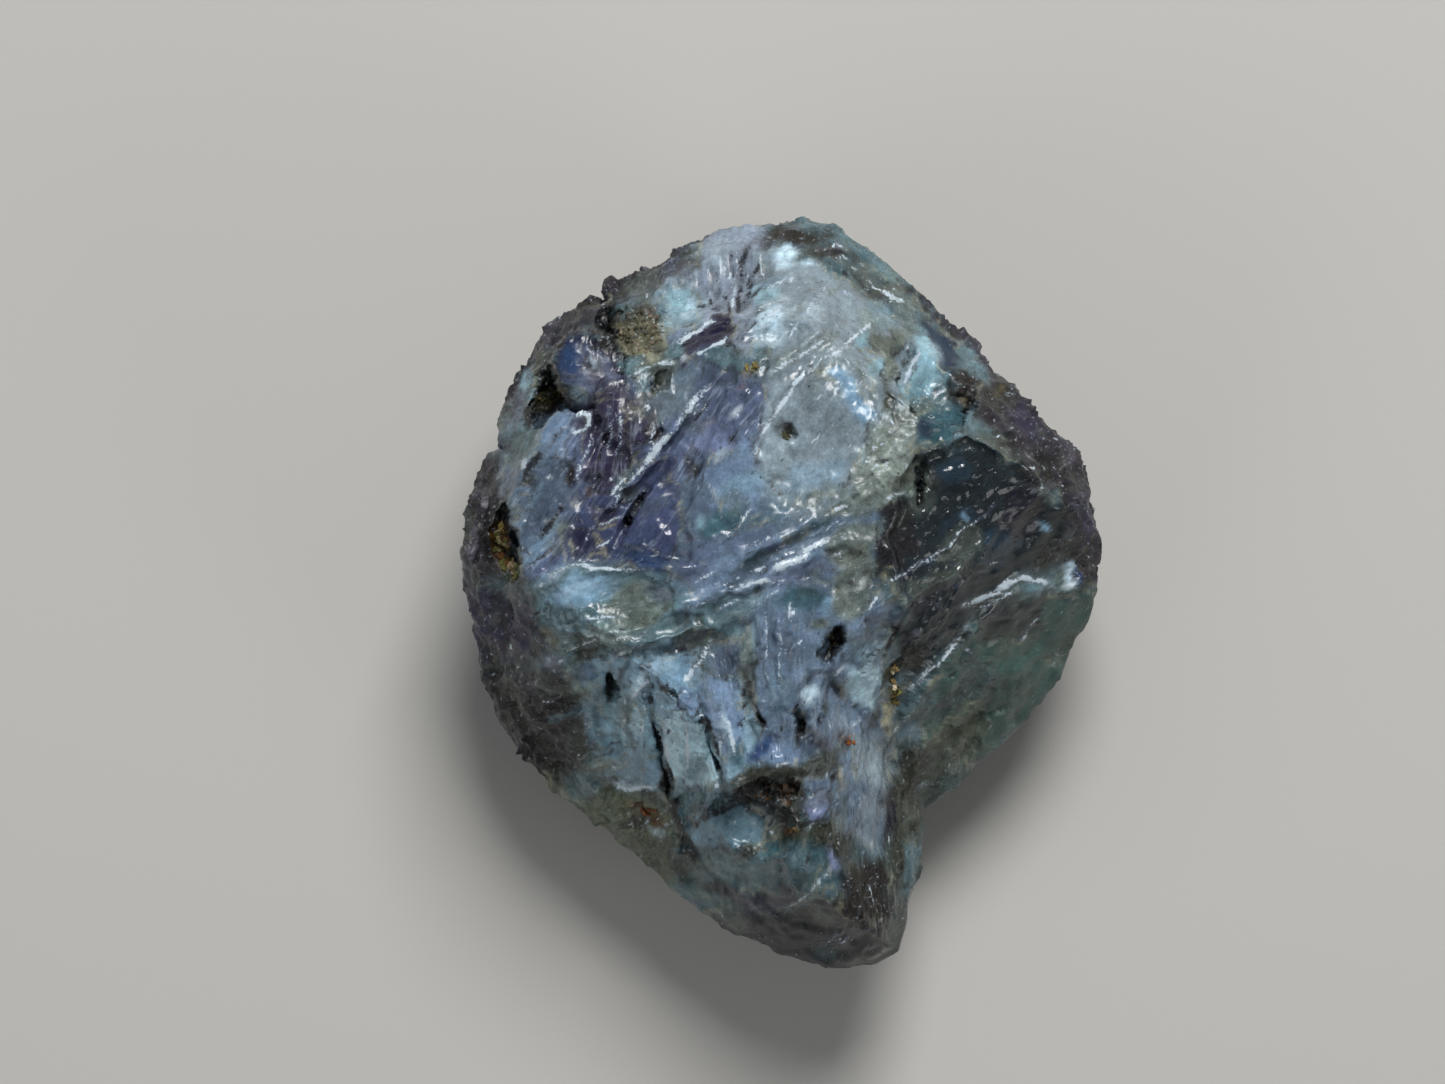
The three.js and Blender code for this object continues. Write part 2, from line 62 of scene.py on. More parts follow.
# The crystal's main shape. Sides go clockwise, seen from above: x, y, height of the widest line there, and
# the slopes of the side above and below it. Faces pass through x, y, depth under the top, and fall towards
# a direction by a dip. Under faces meet the resting plane at x, y.
shape = {
    "middle": (-0.1, 0.2, 1.9),  # every point of the skin can be seen from here
    "frontCells": 276,  # cells along one side of the grid that is wrapped over the front
    "backCells": 138,
    "reach": (3.2, 3.7, 2.0),  # rough half sizes that even out the grid
    "scarLeave": 0.97,  # a scar cuts rays that leave its ellipsoid beyond this share of their reach
    "frontShare": 0.74,  # part of the grid's radius that covers the front up to its slopes
    "frontAngle": 43.4,  # from straight up, at the edge of that part
    "rimAngle": 92,  # the same where the front grid ends
    "crownSides": [
        (0.285, half["length"], 2.05, 58, 80), (0.6, 3.68, 2.0, 60, 76), (1.42, 3.0, 2.05, 63, 76),
        (2.4, 2.01, 2.25, 67, 78), (2.925, 1.48, 2.3, 69, 80), (3.125, 1.04, 2.15, 71, 80),
        (half["width"], 0.54, 1.9, 70, 78), (3.145, -0.21, 1.6, 56, 74), (2.845, -0.81, 1.45, 53, 72),
        (2.5, -1.3, 1.4, 52, 72), (1.63, -2.07, 1.4, 55, 66), (0.6, -2.9, 1.4, 50, 60),
        (-0.2, -3.1, 1.4, 50, 60), (-1.01, -3.04, 1.45, 52, 64), (-1.455, -2.68, 1.5, 58, 72),
        (-2.255, -2.02, 1.45, 62, 76), (-2.65, -1.68, 1.45, 64, 78), (-2.85, -1.25, 1.5, 66, 80),
        (-3.0, -0.71, 1.65, 70, 82), (-3.13, -0.06, 1.85, 73, 82), (-half["width"], 0.44, 2.0, 74, 80),
        (-3.095, 0.94, 2.1, 72, 78), (-2.65, 2.08, 2.15, 68, 78), (-2.425, 2.55, 2.1, 64, 76),
        (-2.075, 2.88, 2.05, 60, 76), (-1.01, 3.45, 2.05, 57, 80), (-0.61, 3.62, 2.05, 57, 82),
    ],
    "footSides": [
        (1.45, -1.9, 1.5, 64, 72), (1.43, -2.4, 1.5, 66, 72), (1.405, -2.7, 1.55, 68, 72),
        (1.305, -3.24, 1.6, 68, 70), (1.255, -3.59, 1.65, 66, 68), (0.98, -3.75, 1.65, 64, 68),
        (0.535, -half["length"], 1.65, 64, 68), (-0.015, -3.62, 1.6, 62, 66), (-0.61, -3.39, 1.55, 60, 66),
        (-1.01, -3.04, 1.5, 60, 66), (-1.455, -2.65, 1.5, 60, 66), (-1.9, 0.3, 1.8, 70, 80),
        (1.3, 0.5, 1.8, 70, 80),
    ],
    "crownFaces": {
        "centre": (0.35, 1.3, 0, 300, 2), "violet": (-0.6, 1.3, 0.03, 165, 12),
        "upperRight": (0.9, 1.9, 0.04, 58, 16), "darkRight": (1.15, 0.5, 0.06, 352, 21),
        "lowerRight": (1.2, -0.8, 0.24, 310, 34), "columns": (-0.4, 0.1, 0.04, 264, 10),
        "lowerLeft": (-1.75, -0.6, 0.28, 212, 40), "crest": (0.2, 2.75, 0.18, 98, 30),
        "shoulder": (-1.6, 2.45, 0.42, 132, 40),
    },
    "footFaces": {
        "columns": (-0.4, 0.1, 0.1, 264, 10), "slope": (0.1, -2.2, 0.46, 272, 29),
        "flank": (1.0, -2.4, 0.7, 345, 42), "leftFlank": (-0.85, -2.4, 0.75, 222, 40),
    },
    "underFaces": [
        (2.4, 0.6, 5, 48), (1.5, 2.0, 46, 38), (-0.2, 2.75, 95, 46), (-2.35, 0.6, 176, 44),
        (-1.75, -1.4, 214, 36), (0.1, -2.35, 268, 34), (1.75, -0.95, 320, 40),
    ],
    # Layers that broke away: face, depth under it, x and y of each point of the outline that they left
    "setbacks": [
        ("violet", 0.1, -2.75, 0.02, -1.9, 0.23, -1.4, 0.28, -0.8, 0.24, -0.92, 0.75, -0.72, 1.35,
            -0.42, 2.05, -0.4, 2.5, -1.2, 2.45, -1.75, 2.2, -2.3, 2.2, -3.2, 1.6, -3.2, 0.3),
        ("darkRight", 0.16, 1.14, 0.22, 1.0, 0.5, 1.12, 0.78, 1.06, 0.98, 1.3, 1.3, 1.85, 1.55, 2.35, 1.3,
            2.8, 0.9, 2.9, 0.3, 2.2, 0.02, 1.7, -0.12, 1.15, -0.3),
        ("columns", 0.1, -2.0, -0.75, -1.4, -0.55, -0.8, -0.38, -0.22, -0.22, -0.05, -1.0, -0.12, -2.15,
            -0.9, -2.15, -1.45, -2.1, -1.85, -1.65),
    ],
    # Shallow glassy scoops: x, y, half sizes along and across, turn, depth
    "scoops": [
        (-0.1, 2.62, 0.34, 0.2, 15, 0.09), (1.52, 2.22, 0.42, 0.27, 110, 0.1),
        (0.3, 1.3, 0.62, 0.4, 60, 0.06), (-1.75, -0.1, 0.55, 0.26, 4, 0.08),
        (-0.5, -2.38, 0.46, 0.28, 8, 0.12),
    ],
    # Etched pits, as the scoops
    "pits": [
        (-2.74, 0.44, 0.46, 0.15, 98, 0.42), (-2.3, 2.02, 0.36, 0.22, 68, 0.5),
        (-1.95, 2.25, 0.52, 0.44, 130, 0.3), (-1.7, 2.66, 0.32, 0.13, 118, 0.4),
        (-1.22, 2.08, 0.17, 0.08, 60, 0.2), (-1.19, 1.55, 0.12, 0.08, 80, 0.16),
        (0.06, 1.55, 0.11, 0.08, 110, 0.14), (1.87, 1.98, 0.2, 0.12, 80, 0.1),
        (0.51, -0.5, 0.26, 0.11, 76, 0.3), (-0.13, -1.98, 0.34, 0.16, 8, 0.26),
        (-1.68, -1.0, 0.18, 0.07, 95, 0.16), (0.2, -1.27, 0.15, 0.08, 80, 0.16),
        (-0.88, 1.33, 0.13, 0.09, 110, 0.1),
        (-1.08, -0.98, 0.05, 0.05, 0, 0.08), (-0.2, -1.27, 0.1, 0.05, 110, 0.12),
    ],
    # Broken scars on the steep sides: middle x, y, z, half sizes along, into and up the side, and the
    # direction that the side faces
    "scars": [
        (2.99, 1.25, 3.1, 0.9, 0.42, 0.6, 24), (3.38, 0.5, 0.95, 0.95, 0.52, 0.65, 5),
        (-3.03, -0.4, 2.75, 0.7, 0.4, 0.6, 170), (-3.33, 0.7, 1.0, 0.9, 0.5, 0.62, 175),
        (-0.7, 3.27, 2.95, 0.9, 0.42, 0.5, 113), (1.97, 2.56, 0.95, 1.0, 0.5, 0.62, 45),
        (2.12, -1.73, 0.75, 0.8, 0.45, 0.52, 318), (-2.32, 2.78, 1.05, 0.8, 0.5, 0.62, 135),
    ],
    # Growth hillocks and the grain of host rock, as the pits but raised
    "lumps": [
        (-1.83, 2.17, 0.5, 0.4, 130, 0.09), (-1.5, 1.72, 0.46, 0.28, 118, 0.06),
        (-1.38, 2.6, 0.32, 0.28, 60, 0.1), (2.93, 0.12, 0.17, 0.12, 60, 0.1),
        (-3.0, 0.62, 0.34, 0.1, 75, 0.16),
    ],
    # Notches in the outline: tip, half angle, direction faced
    "notches": [(-2.72, 1.45, 40, 152), (-1.74, 2.86, 38, 120)],
    # Grooves between the columns, cracks and raised edges: width, height (negative for cracks), x and y of
    # each point
    "lines": [
        (0.12, -0.08, -1.75, -0.62, -1.68, -1.2, -1.56, -1.85),
        (0.12, -0.08, -1.38, -0.5, -1.24, -1.3, -1.1, -2.02),
        (0.045, -0.16, -1.26, -1.25, -1.17, -1.6, -1.08, -2.1),
        (0.12, -0.07, -0.98, -0.5, -0.74, -1.3, -0.6, -1.95),
        (0.04, -0.15, -0.7, -1.35, -0.65, -1.6, -0.6, -1.88),
        (0.12, -0.07, -0.58, -0.4, -0.4, -1.05, -0.26, -1.6),
        (0.12, -0.08, -0.12, -0.2, -0.06, -0.9, -0.04, -1.6),
        (0.12, -0.07, 0.48, -0.8, 0.4, -1.5, 0.36, -2.15),
        (0.12, -0.05, 1.08, -0.1, 1.16, -0.5, 1.1, -0.9, 1.16, -1.45, 0.98, -2.7),
        # The columns' rounded backs
        (0.24, 0.06, -1.52, -0.7, -1.44, -1.2, -1.34, -1.75),
        (0.3, 0.08, -1.15, -0.6, -1.0, -1.2, -0.85, -1.95),
        (0.28, 0.07, -0.72, -0.6, -0.56, -1.2, -0.45, -1.75),
        (0.3, 0.06, 0.15, -0.2, 0.2, -0.7, 0.15, -1.2),
        (0.34, 0.07, 0.8, -0.3, 0.8, -0.9, 0.85, -1.6, 0.75, -2.3),
        (0.06, -0.2, -1.3, 1.08, -1.46, 0.76, -1.62, 0.46),
        (0.08, -0.16, -0.85, 1.75, -1.25, 1.2, -1.95, 0.55),
        (0.045, -0.2, 1.4, 1.32, 1.38, 1.08, 1.36, 0.82),
        (0.06, -0.07, -1.0, -2.0, -0.92, -2.35, -0.98, -2.7),
        (0.12, 0.05, -2.4, 0.02, -1.92, 0.22, -1.4, 0.29, -0.8, 0.25),
        (0.1, 0.06, -0.5, 2.2, -0.95, 1.75, -1.25, 1.32),
        (0.09, 0.05, -0.18, 1.96, -0.4, 1.62, -0.62, 1.28),
        (0.07, 0.05, 0.62, 2.45, 0.25, 2.18, -0.05, 1.95, -0.38, 1.32),
        (0.08, 0.05, 0.92, 3.09, 0.4, 2.6, -0.05, 2.2, -0.35, 1.98),
        (0.11, 0.06, -1.55, -0.35, -0.9, -0.1, -0.4, 0.02, 0.1, 0.3, 0.7, 0.55),
        (0.08, 0.05, -0.5, 0.3, -0.05, 0.5, 0.45, 0.78, 0.95, 1.15),
        (0.09, 0.05, -2.3, -0.35, -1.6, -0.55, -0.95, -0.4, -0.5, -0.25),
        (0.1, 0.06, 2.86, 0.14, 2.3, -0.02, 1.85, -0.42, 1.5, -0.8, 1.22, -1.3),
    ],
}

# The finish of each kind of zone: colour, clarity (0 milky, 1 clear), frost (roughness), and the shares of
# chips and ribs in its relief
zoneKinds = {
    "greyTeal": ("5e7a82", 0.25, 0.25, 0.3, 0.2),
    "greyBlue": ("56667a", 0.2, 0.22, 0.15, 0.15),
    "paleGrey": ("8797a0", 0.12, 0.2, 0.05, 0.08),
    "lilacGrey": ("8c98a8", 0.12, 0.22, 0.25, 0.1),
    "milk": ("bcd5e3", 0.05, 0.2, 0.05, 0.08),
    "milkyBlue": ("82a5be", 0.1, 0.2, 0.06, 0.12),
    "lilacBlue": ("768eaa", 0.12, 0.2, 0.08, 0.12),
    "lilac": ("7c89ab", 0.12, 0.2, 0.08, 0.12),
    "skyGrey": ("84a2b4", 0.1, 0.2, 0.06, 0.08),
    "cyan": ("8aaebb", 0.12, 0.18, 0.04, 0.08),
    "columnCyan": ("b4d4e0", 0.08, 0.18, 0.05, 0.08),
    "paleBlue": ("6b8096", 0.2, 0.22, 0.15, 0.18),
    "violetBlue": ("5c6984", 0.2, 0.2, 0.25, 0.3),
    "violet": ("465070", 0.25, 0.2, 0.25, 0.3),
    "plum": ("3a3650", 0.25, 0.22, 0.25, 0.4),
    "indigo": ("22203a", 0.2, 0.18, 0.1, 0.1),
    "deepBlue": ("31496f", 0.2, 0.22, 0.0, 0.0),
    "slate": ("626c84", 0.12, 0.34, 0.0, 0.0),
    "lensBlue": ("102c44", 0.1, 0.16, 0.0, 0.0),
    "navy": ("0c1119", 0.1, 0.16, 0.12, 0.04),
    "teal": ("3c5e68", 0.2, 0.2, 0.15, 0.08),
    "steel": ("3e5a54", 0.18, 0.22, 0.08, 0.04),
    "smoke": ("222c31", 0.3, 0.14, 0.08, 0.03),
    "smokeBlue": ("2f4657", 0.3, 0.15, 0.05, 0.04),
    "smokeBrown": ("262629", 0.25, 0.22, 0.25, 0.06),
    "rimPurple": ("29242c", 0.05, 0.42, 0.7, 0.03),
    "rimViolet": ("2c2b43", 0.06, 0.38, 0.6, 0.03),
    "rimDark": ("110f13", 0.05, 0.36, 0.8, 0.03),
    # rimPale is the rims' pale grey; its short strokes and small patches also paint pinkish glints of light
    # on the rims' chips
    "rimPale": ("6a6874", 0.12, 0.4, 0.6, 0.05),
    "olivePale": ("7e8a84", 0.15, 0.32, 0.5, 0.2),
    "olive": ("69746a", 0.18, 0.32, 0.35, 0.15),
    "oliveDark": ("34372a", 0.12, 0.35, 0.5, 0.1),
    "oliveGrey": ("5a6250", 0.12, 0.34, 0.4, 0.1),
    "oliveBrown": ("2c2c22", 0.12, 0.35, 0.4, 0.08),
    "tan": ("7a7150", 0.1, 0.5, 0.7, 0.05),
    "cream": ("a9a78c", 0.1, 0.4, 0.4, 0.05),
    "rockTan": ("62604c", 0.03, 0.6, 1.0, 0.0),
    "amber": ("664718", 0.1, 0.5, 0.8, 0.0),
    "rust": ("744418", 0.12, 0.5, 0.4, 0.05),
    "brown": ("251f1b", 0.15, 0.45, 0.6, 0.05),
    "black": ("080908", 0.08, 0.4, 0.4, 0.0),
    "ink": ("1b1b28", 0.2, 0.25, 0.15, 0.05),
    # glint and lilacGlint are painted highlights: glints of light on the ridges, laid into the colour
    "glint": ("d9e6ee", 0.1, 0.15, 0.0, 0.0),
    "lilacGlint": ("9fb0d0", 0.1, 0.18, 0.0, 0.1),
    "ovalTeal": ("6d8d9d", 0.15, 0.2, 0.0, 0.0),
}

# Zones of the front, laid over each other in this order: kind, softness of the edge, x and y of each point
areas = [
    ("rimPurple", 0.1, 130, 290, 190, 240, 200, 220, 195, 175, 220, 140, 240, 115, 275, 100, 290, 60, 275,
        25, 300, 10, 350, 10, 350, 160, 250, 270, 150, 340),
    ("rimPurple", 0.15, -360, 10, -262, 5, -270, 120, -265, 175, -235, 230, -175, 275, -140, 305, -100, 335,
        -60, 360, -70, 400, -360, 300),
    ("rimViolet", 0.15, -360, 20, -255, 5, -235, -45, -250, -75, -300, -85, -360, -80),
    ("rimDark", 0.12, -340, -75, -270, -75, -220, -70, -198, -90, -195, -160, -210, -200, -250, -240, -340,
        -160),
    # Top and middle
    ("paleGrey", 0.15, -20, 345, 25, 335, 90, 310, 130, 260, 130, 200, 90, 150, 75, 100, -10, 90, -45, 130,
        -10, 220),
    ("lilacGrey", 0.12, -115, 305, -85, 335, -60, 365, -20, 365, -15, 290, -30, 240, -60, 245, -110, 260,
        -120, 285),
    ("violetBlue", 0.08, -130, 220, -90, 230, -35, 220, -10, 200, -25, 150, -60, 110, -85, 90, -90, 50, -110,
        28, -150, 20, -200, 25, -255, 10, -266, 70, -274, 120, -270, 160, -240, 185, -200, 190, -150, 210),
    ("violet", 0.1, -200, 100, -160, 105, -125, 110, -100, 90, -105, 30, -150, 24, -210, 28, -220, 60),
    ("plum", 0.08, -198, 195, -160, 210, -130, 195, -115, 165, -140, 130, -160, 105, -198, 110, -190, 150),
    ("paleBlue", 0.1, -275, 175, -240, 186, -210, 186, -205, 150, -210, 110, -220, 95, -230, 50, -260, 20,
        -266, 70, -275, 120),
    ("greyBlue", 0.12, -220, 135, -205, 110, -215, 85, -245, 45, -260, 40, -262, 90, -245, 115),
    ("greyTeal", 0.12, -285, 168, -245, 170, -240, 150, -245, 135, -262, 125, -280, 130),
    ("greyBlue", 0.12, -115, 20, -100, 70, -100, 115, -50, 145, -30, 120, -25, 80, -50, 40, -80, 10, -110,
        10),
    ("lilacBlue", 0.15, -75, 130, -35, 150, -15, 110, -20, 75, -50, 75, -75, 100),
    ("greyTeal", 0.12, -245, 10, -200, 24, -120, 24, -90, 10, -60, -20, -90, -50, -150, -55, -200, -60, -235,
        -45),
    ("paleBlue", 0.12, -90, 10, -60, 35, -10, 75, 50, 95, 95, 100, 100, 30, 30, 10, -30, -15, -90, -30),
    ("skyGrey", 0.1, -200, -65, -140, -60, -100, -48, -45, -40, -30, -90, -25, -160, -50, -190, -105, -195,
        -170, -185, -200, -150),
    ("paleBlue", 0.1, -35, -5, 30, 10, 90, 25, 110, -20, 106, -70, 110, -150, 95, -250, 40, -260, 15, -180,
        -20, -170, -25, -80),
    # Right
    ("smoke", 0.14, 104, 88, 130, 100, 133, 140, 180, 150, 220, 145, 260, 105, 290, 70, 285, 35, 230, 12,
        210, -10, 160, -75, 125, -100, 110, -80, 116, -55, 106, -30, 118, -5, 102, 12, 94, 35, 106, 60),
    ("steel", 0.1, 295, 0, 350, 10, 320, -100, 240, -190, 160, -240, 135, -170, 150, -90, 185, -45, 210, -5),
    ("oliveDark", 0.12, 112, -150, 150, -145, 180, -130, 190, -160, 150, -210, 160, -300, 120, -320, 98,
        -270, 102, -200),
    ("oliveGrey", 0.12, -230, -190, -170, -195, -100, -210, -98, -290, -130, -330, -240, -240),
    ("teal", 0.1, -100, -210, 0, -210, 90, -245, 60, -310, -30, -320, -90, -330, -110, -290),
    ("navy", 0.1, -70, -320, 0, -315, 40, -300, 120, -300, 160, -320, 140, -400, 10, -400, -70, -370),
    # Upper left
    ("rockTan", 0.05, -165, 270, -152, 280, -140, 288, -122, 288, -113, 275, -110, 255, -118, 238, -130, 228,
        -146, 230, -158, 245),
    # The bead: an indigo ring of painted shade round its edge, and its slate middle laid inside it
    ("indigo", 0.05, -216, 250, -224, 236, -222, 218, -212, 202, -198, 193, -180, 190, -160, 196, -150, 212,
        -156, 236, -170, 254, -192, 258),
    ("slate", 0.07, -208, 242, -213, 232, -212, 218, -204, 207, -194, 200, -180, 198, -165, 205, -160, 216,
        -166, 233, -176, 244, -192, 248),
    ("deepBlue", 0.12, -212, 248, -220, 235, -219, 220, -208, 212, -198, 225, -195, 245),
    ("black", 0.05, -230, 242, -238, 225, -233, 208, -242, 195, -251, 185, -250, 168, -230, 175, -215, 185,
        -200, 190, -212, 205, -222, 220, -224, 235),
    ("ink", 0.06, -225, 250, -212, 278, -190, 292, -168, 290, -164, 260, -174, 254, -192, 257, -212, 253,
        -222, 240),
    ("black", 0.04, -178, 284, -162, 288, -162, 262, -155, 242, -142, 227, -160, 232, -176, 252),
    ("greyTeal", 0.06, -145, 220, -120, 228, -100, 226, -106, 222, -125, 215, -130, 195, -145, 200),
    ("black", 0.03, -102, 226, -120, 224, -131, 212, -132, 193, -120, 188, -111, 200, -107, 213),
    ("paleBlue", 0.08, -108, 220, -95, 225, -75, 220, -80, 200, -100, 180, -115, 175, -112, 200),
    ("cyan", 0.12, -112, 300, -90, 302, -80, 285, -75, 265, -95, 258, -110, 265),
    ("indigo", 0.03, -98, 245, -85, 255, -70, 263, -60, 272, -48, 274, -44, 262, -50, 250, -65, 242, -80,
        233, -95, 227),
    # Left face
    ("lilacBlue", 0.06, -235, 175, -210, 187, -205, 170, -220, 150, -230, 140, -242, 150),
    ("plum", 0.08, -152, 188, -130, 184, -122, 165, -127, 145, -145, 142, -152, 160),
    ("violet", 0.06, -150, 102, -135, 128, -105, 132, -100, 100, -100, 35, -125, 27, -160, 35),
    ("lilac", 0.08, -82, 168, -60, 172, -50, 140, -62, 125, -82, 140),
    ("indigo", 0.12, -205, 60, -180, 62, -175, 35, -200, 28),
    ("plum", 0.1, -186, 85, -162, 84, -155, 68, -180, 62),
    ("deepBlue", 0.12, -165, 42, -130, 45, -108, 36, -110, 26, -150, 25),
    # Middle
    ("paleGrey", 0.08, 0, 180, 33, 220, 50, 210, 65, 195, 70, 175, 78, 160, 80, 145, 78, 125, 60, 110, 45,
        100, 10, 100, -10, 110, -20, 130, -15, 155),
    ("milkyBlue", 0.06, 45, 215, 60, 222, 76, 206, 87, 185, 95, 165, 88, 158, 75, 170, 65, 178, 60, 195),
    ("cyan", 0.06, 70, 245, 80, 266, 92, 262, 88, 240, 78, 235),
    ("olive", 0.06, 86, 236, 90, 256, 115, 262, 132, 260, 120, 240, 114, 210, 110, 178, 98, 175, 102, 210,
        102, 232),
    ("cyan", 0.05, 83, 230, 102, 228, 100, 210, 93, 193),
    ("cyan", 0.05, 136, 260, 145, 265, 160, 250, 175, 225, 172, 210, 160, 198, 140, 188, 126, 184, 124, 200,
        133, 230),
    ("lensBlue", 0.03, 136, 267, 156, 265, 173, 248, 182, 226, 178, 210, 166, 214, 157, 235, 144, 251),
    ("teal", 0.08, 42, 330, 70, 342, 110, 316, 138, 290, 120, 274, 95, 286, 75, 302, 52, 314),
    ("brown", 0.06, 175, 215, 188, 220, 197, 210, 195, 195, 185, 180, 175, 182, 173, 195),
    ("olivePale", 0.08, 85, 160, 120, 175, 140, 178, 132, 150, 136, 135, 130, 120, 105, 98, 75, 98, 72, 115,
        82, 135),
    ("teal", 0.07, 135, 172, 150, 182, 175, 178, 185, 160, 160, 148, 135, 150),
    ("teal", 0.05, 5, 50, 15, 60, 30, 68, 47, 72, 42, 62, 30, 55, 15, 48),
    ("smokeBrown", 0.06, 96, 85, 108, 94, 127, 92, 133, 70, 130, 40, 115, 25, 100, 22, 97, 50),
    # Columns
    ("milkyBlue", 0.05, -138, -75, -122, -66, -82, -64, -93, -88, -99, -99, -122, -99, -133, -109),
    ("greyBlue", 0.06, -75, -50, -40, -42, -36, -85, -78, -80),
    ("lilacBlue", 0.06, -80, -87, -40, -87, -36, -125, -42, -160, -58, -165, -70, -130),
    ("lilacBlue", 0.05, -100, -105, -90, -95, -74, -105, -78, -122, -98, -120),
    ("columnCyan", 0.05, -116, -133, -101, -122, -74, -125, -67, -143, -62, -170, -60, -183, -93, -195, -107,
        -188, -112, -164),
    ("plum", 0.05, -100, -52, -83, -40, -65, -33, -66, -42, -85, -53),
    ("cyan", 0.08, -137, -115, -124, -112, -120, -135, -116, -165, -134, -162),
    ("columnCyan", 0.08, -150, -100, -136, -112, -136, -150, -150, -155),
    ("cyan", 0.08, -174, -110, -152, -102, -150, -130, -152, -165, -172, -160),
    ("ovalTeal", 0.08, -193, -105, -178, -95, -175, -120, -176, -160, -190, -155),
    ("skyGrey", 0.08, -192, -166, -170, -158, -136, -162, -134, -188, -165, -193, -190, -195),
    ("greyTeal", 0.08, -212, -175, -195, -164, -175, -172, -175, -198, -200, -210, -218, -195),
    ("lilacBlue", 0.06, -22, -150, 5, -148, 12, -168, -10, -172, -25, -164),
    ("oliveGrey", 0.05, -30, -180, -10, -173, 5, -168, 27, -168, 25, -176, 0, -180, -30, -188),
    ("brown", 0.05, -48, -195, -30, -185, 0, -180, 20, -182, 18, -200, 14, -230, 2, -232, -2, -214, -25,
        -212, -44, -207),
    ("lilac", 0.05, 17, -205, 27, -195, 40, -193, 42, -210, 37, -220, 30, -227, 22, -222),
    ("paleGrey", 0.1, 75, -150, 108, -145, 112, -175, 108, -195, 95, -220, 80, -210, 72, -180),
    ("paleBlue", 0.08, 52, -195, 75, -187, 105, -195, 100, -215, 96, -240, 90, -255, 75, -250, 65, -230, 55,
        -215),
    ("black", 0.03, 55, -30, 63.4, -42, 61.3, -56.6, 53.4, -60, 53, -67, 48.7, -71, 42.4, -60, 40, -46, 46.6,
        -35.5),
    ("greyBlue", 0.05, 20, -136, 38, -136, 35, -150, 25, -157),
    ("skyGrey", 0.05, 120, -130, 135, -128, 146, -135, 140, -147, 122, -146),
    ("cream", 0.04, 103, -111, 112, -110, 114, -130, 105, -130),
    # Lobe and foot
    ("smoke", 0.12, 205, -2, 230, -2, 265, -5, 260, -35, 235, -50, 210, -45, 195, -20),
    ("oliveGrey", 0.15, 160, -125, 200, -110, 210, -140, 190, -170, 160, -150),
    ("navy", 0.06, -98, -234, -86, -220, -72, -213, -53, -207, -30, -208, -10, -220, -8, -245, -30, -262,
        -80, -260, -96, -245),
    ("ovalTeal", 0.06, -90, -236, -80, -225, -68, -220, -50, -214, -33, -213, -18, -220, -13, -235, -20,
        -250, -33, -258, -79, -256, -90, -246),
    ("greyTeal", 0.12, -85, -260, -30, -258, 30, -256, 40, -275, 30, -300, -10, -295, -50, -305, -85, -300),
    ("smokeBlue", 0.1, -45, -300, 5, -298, 10, -310, -10, -320, -45, -320),
    ("oliveDark", 0.1, 0, -228, 30, -227, 50, -220, 66, -235, 72, -252, 40, -250, 0, -245),
    ("lilac", 0.05, 50, -261, 65, -263, 63, -277, 53, -277),
    ("ovalTeal", 0.06, 40, -292, 50, -286, 63, -290, 60, -300, 50, -307, 42, -302),
    ("brown", 0.1, 65, -275, 95, -265, 110, -280, 110, -320, 90, -330, 60, -320),
    ("greyTeal", 0.1, 125, -255, 142, -250, 142, -310, 125, -305),
]

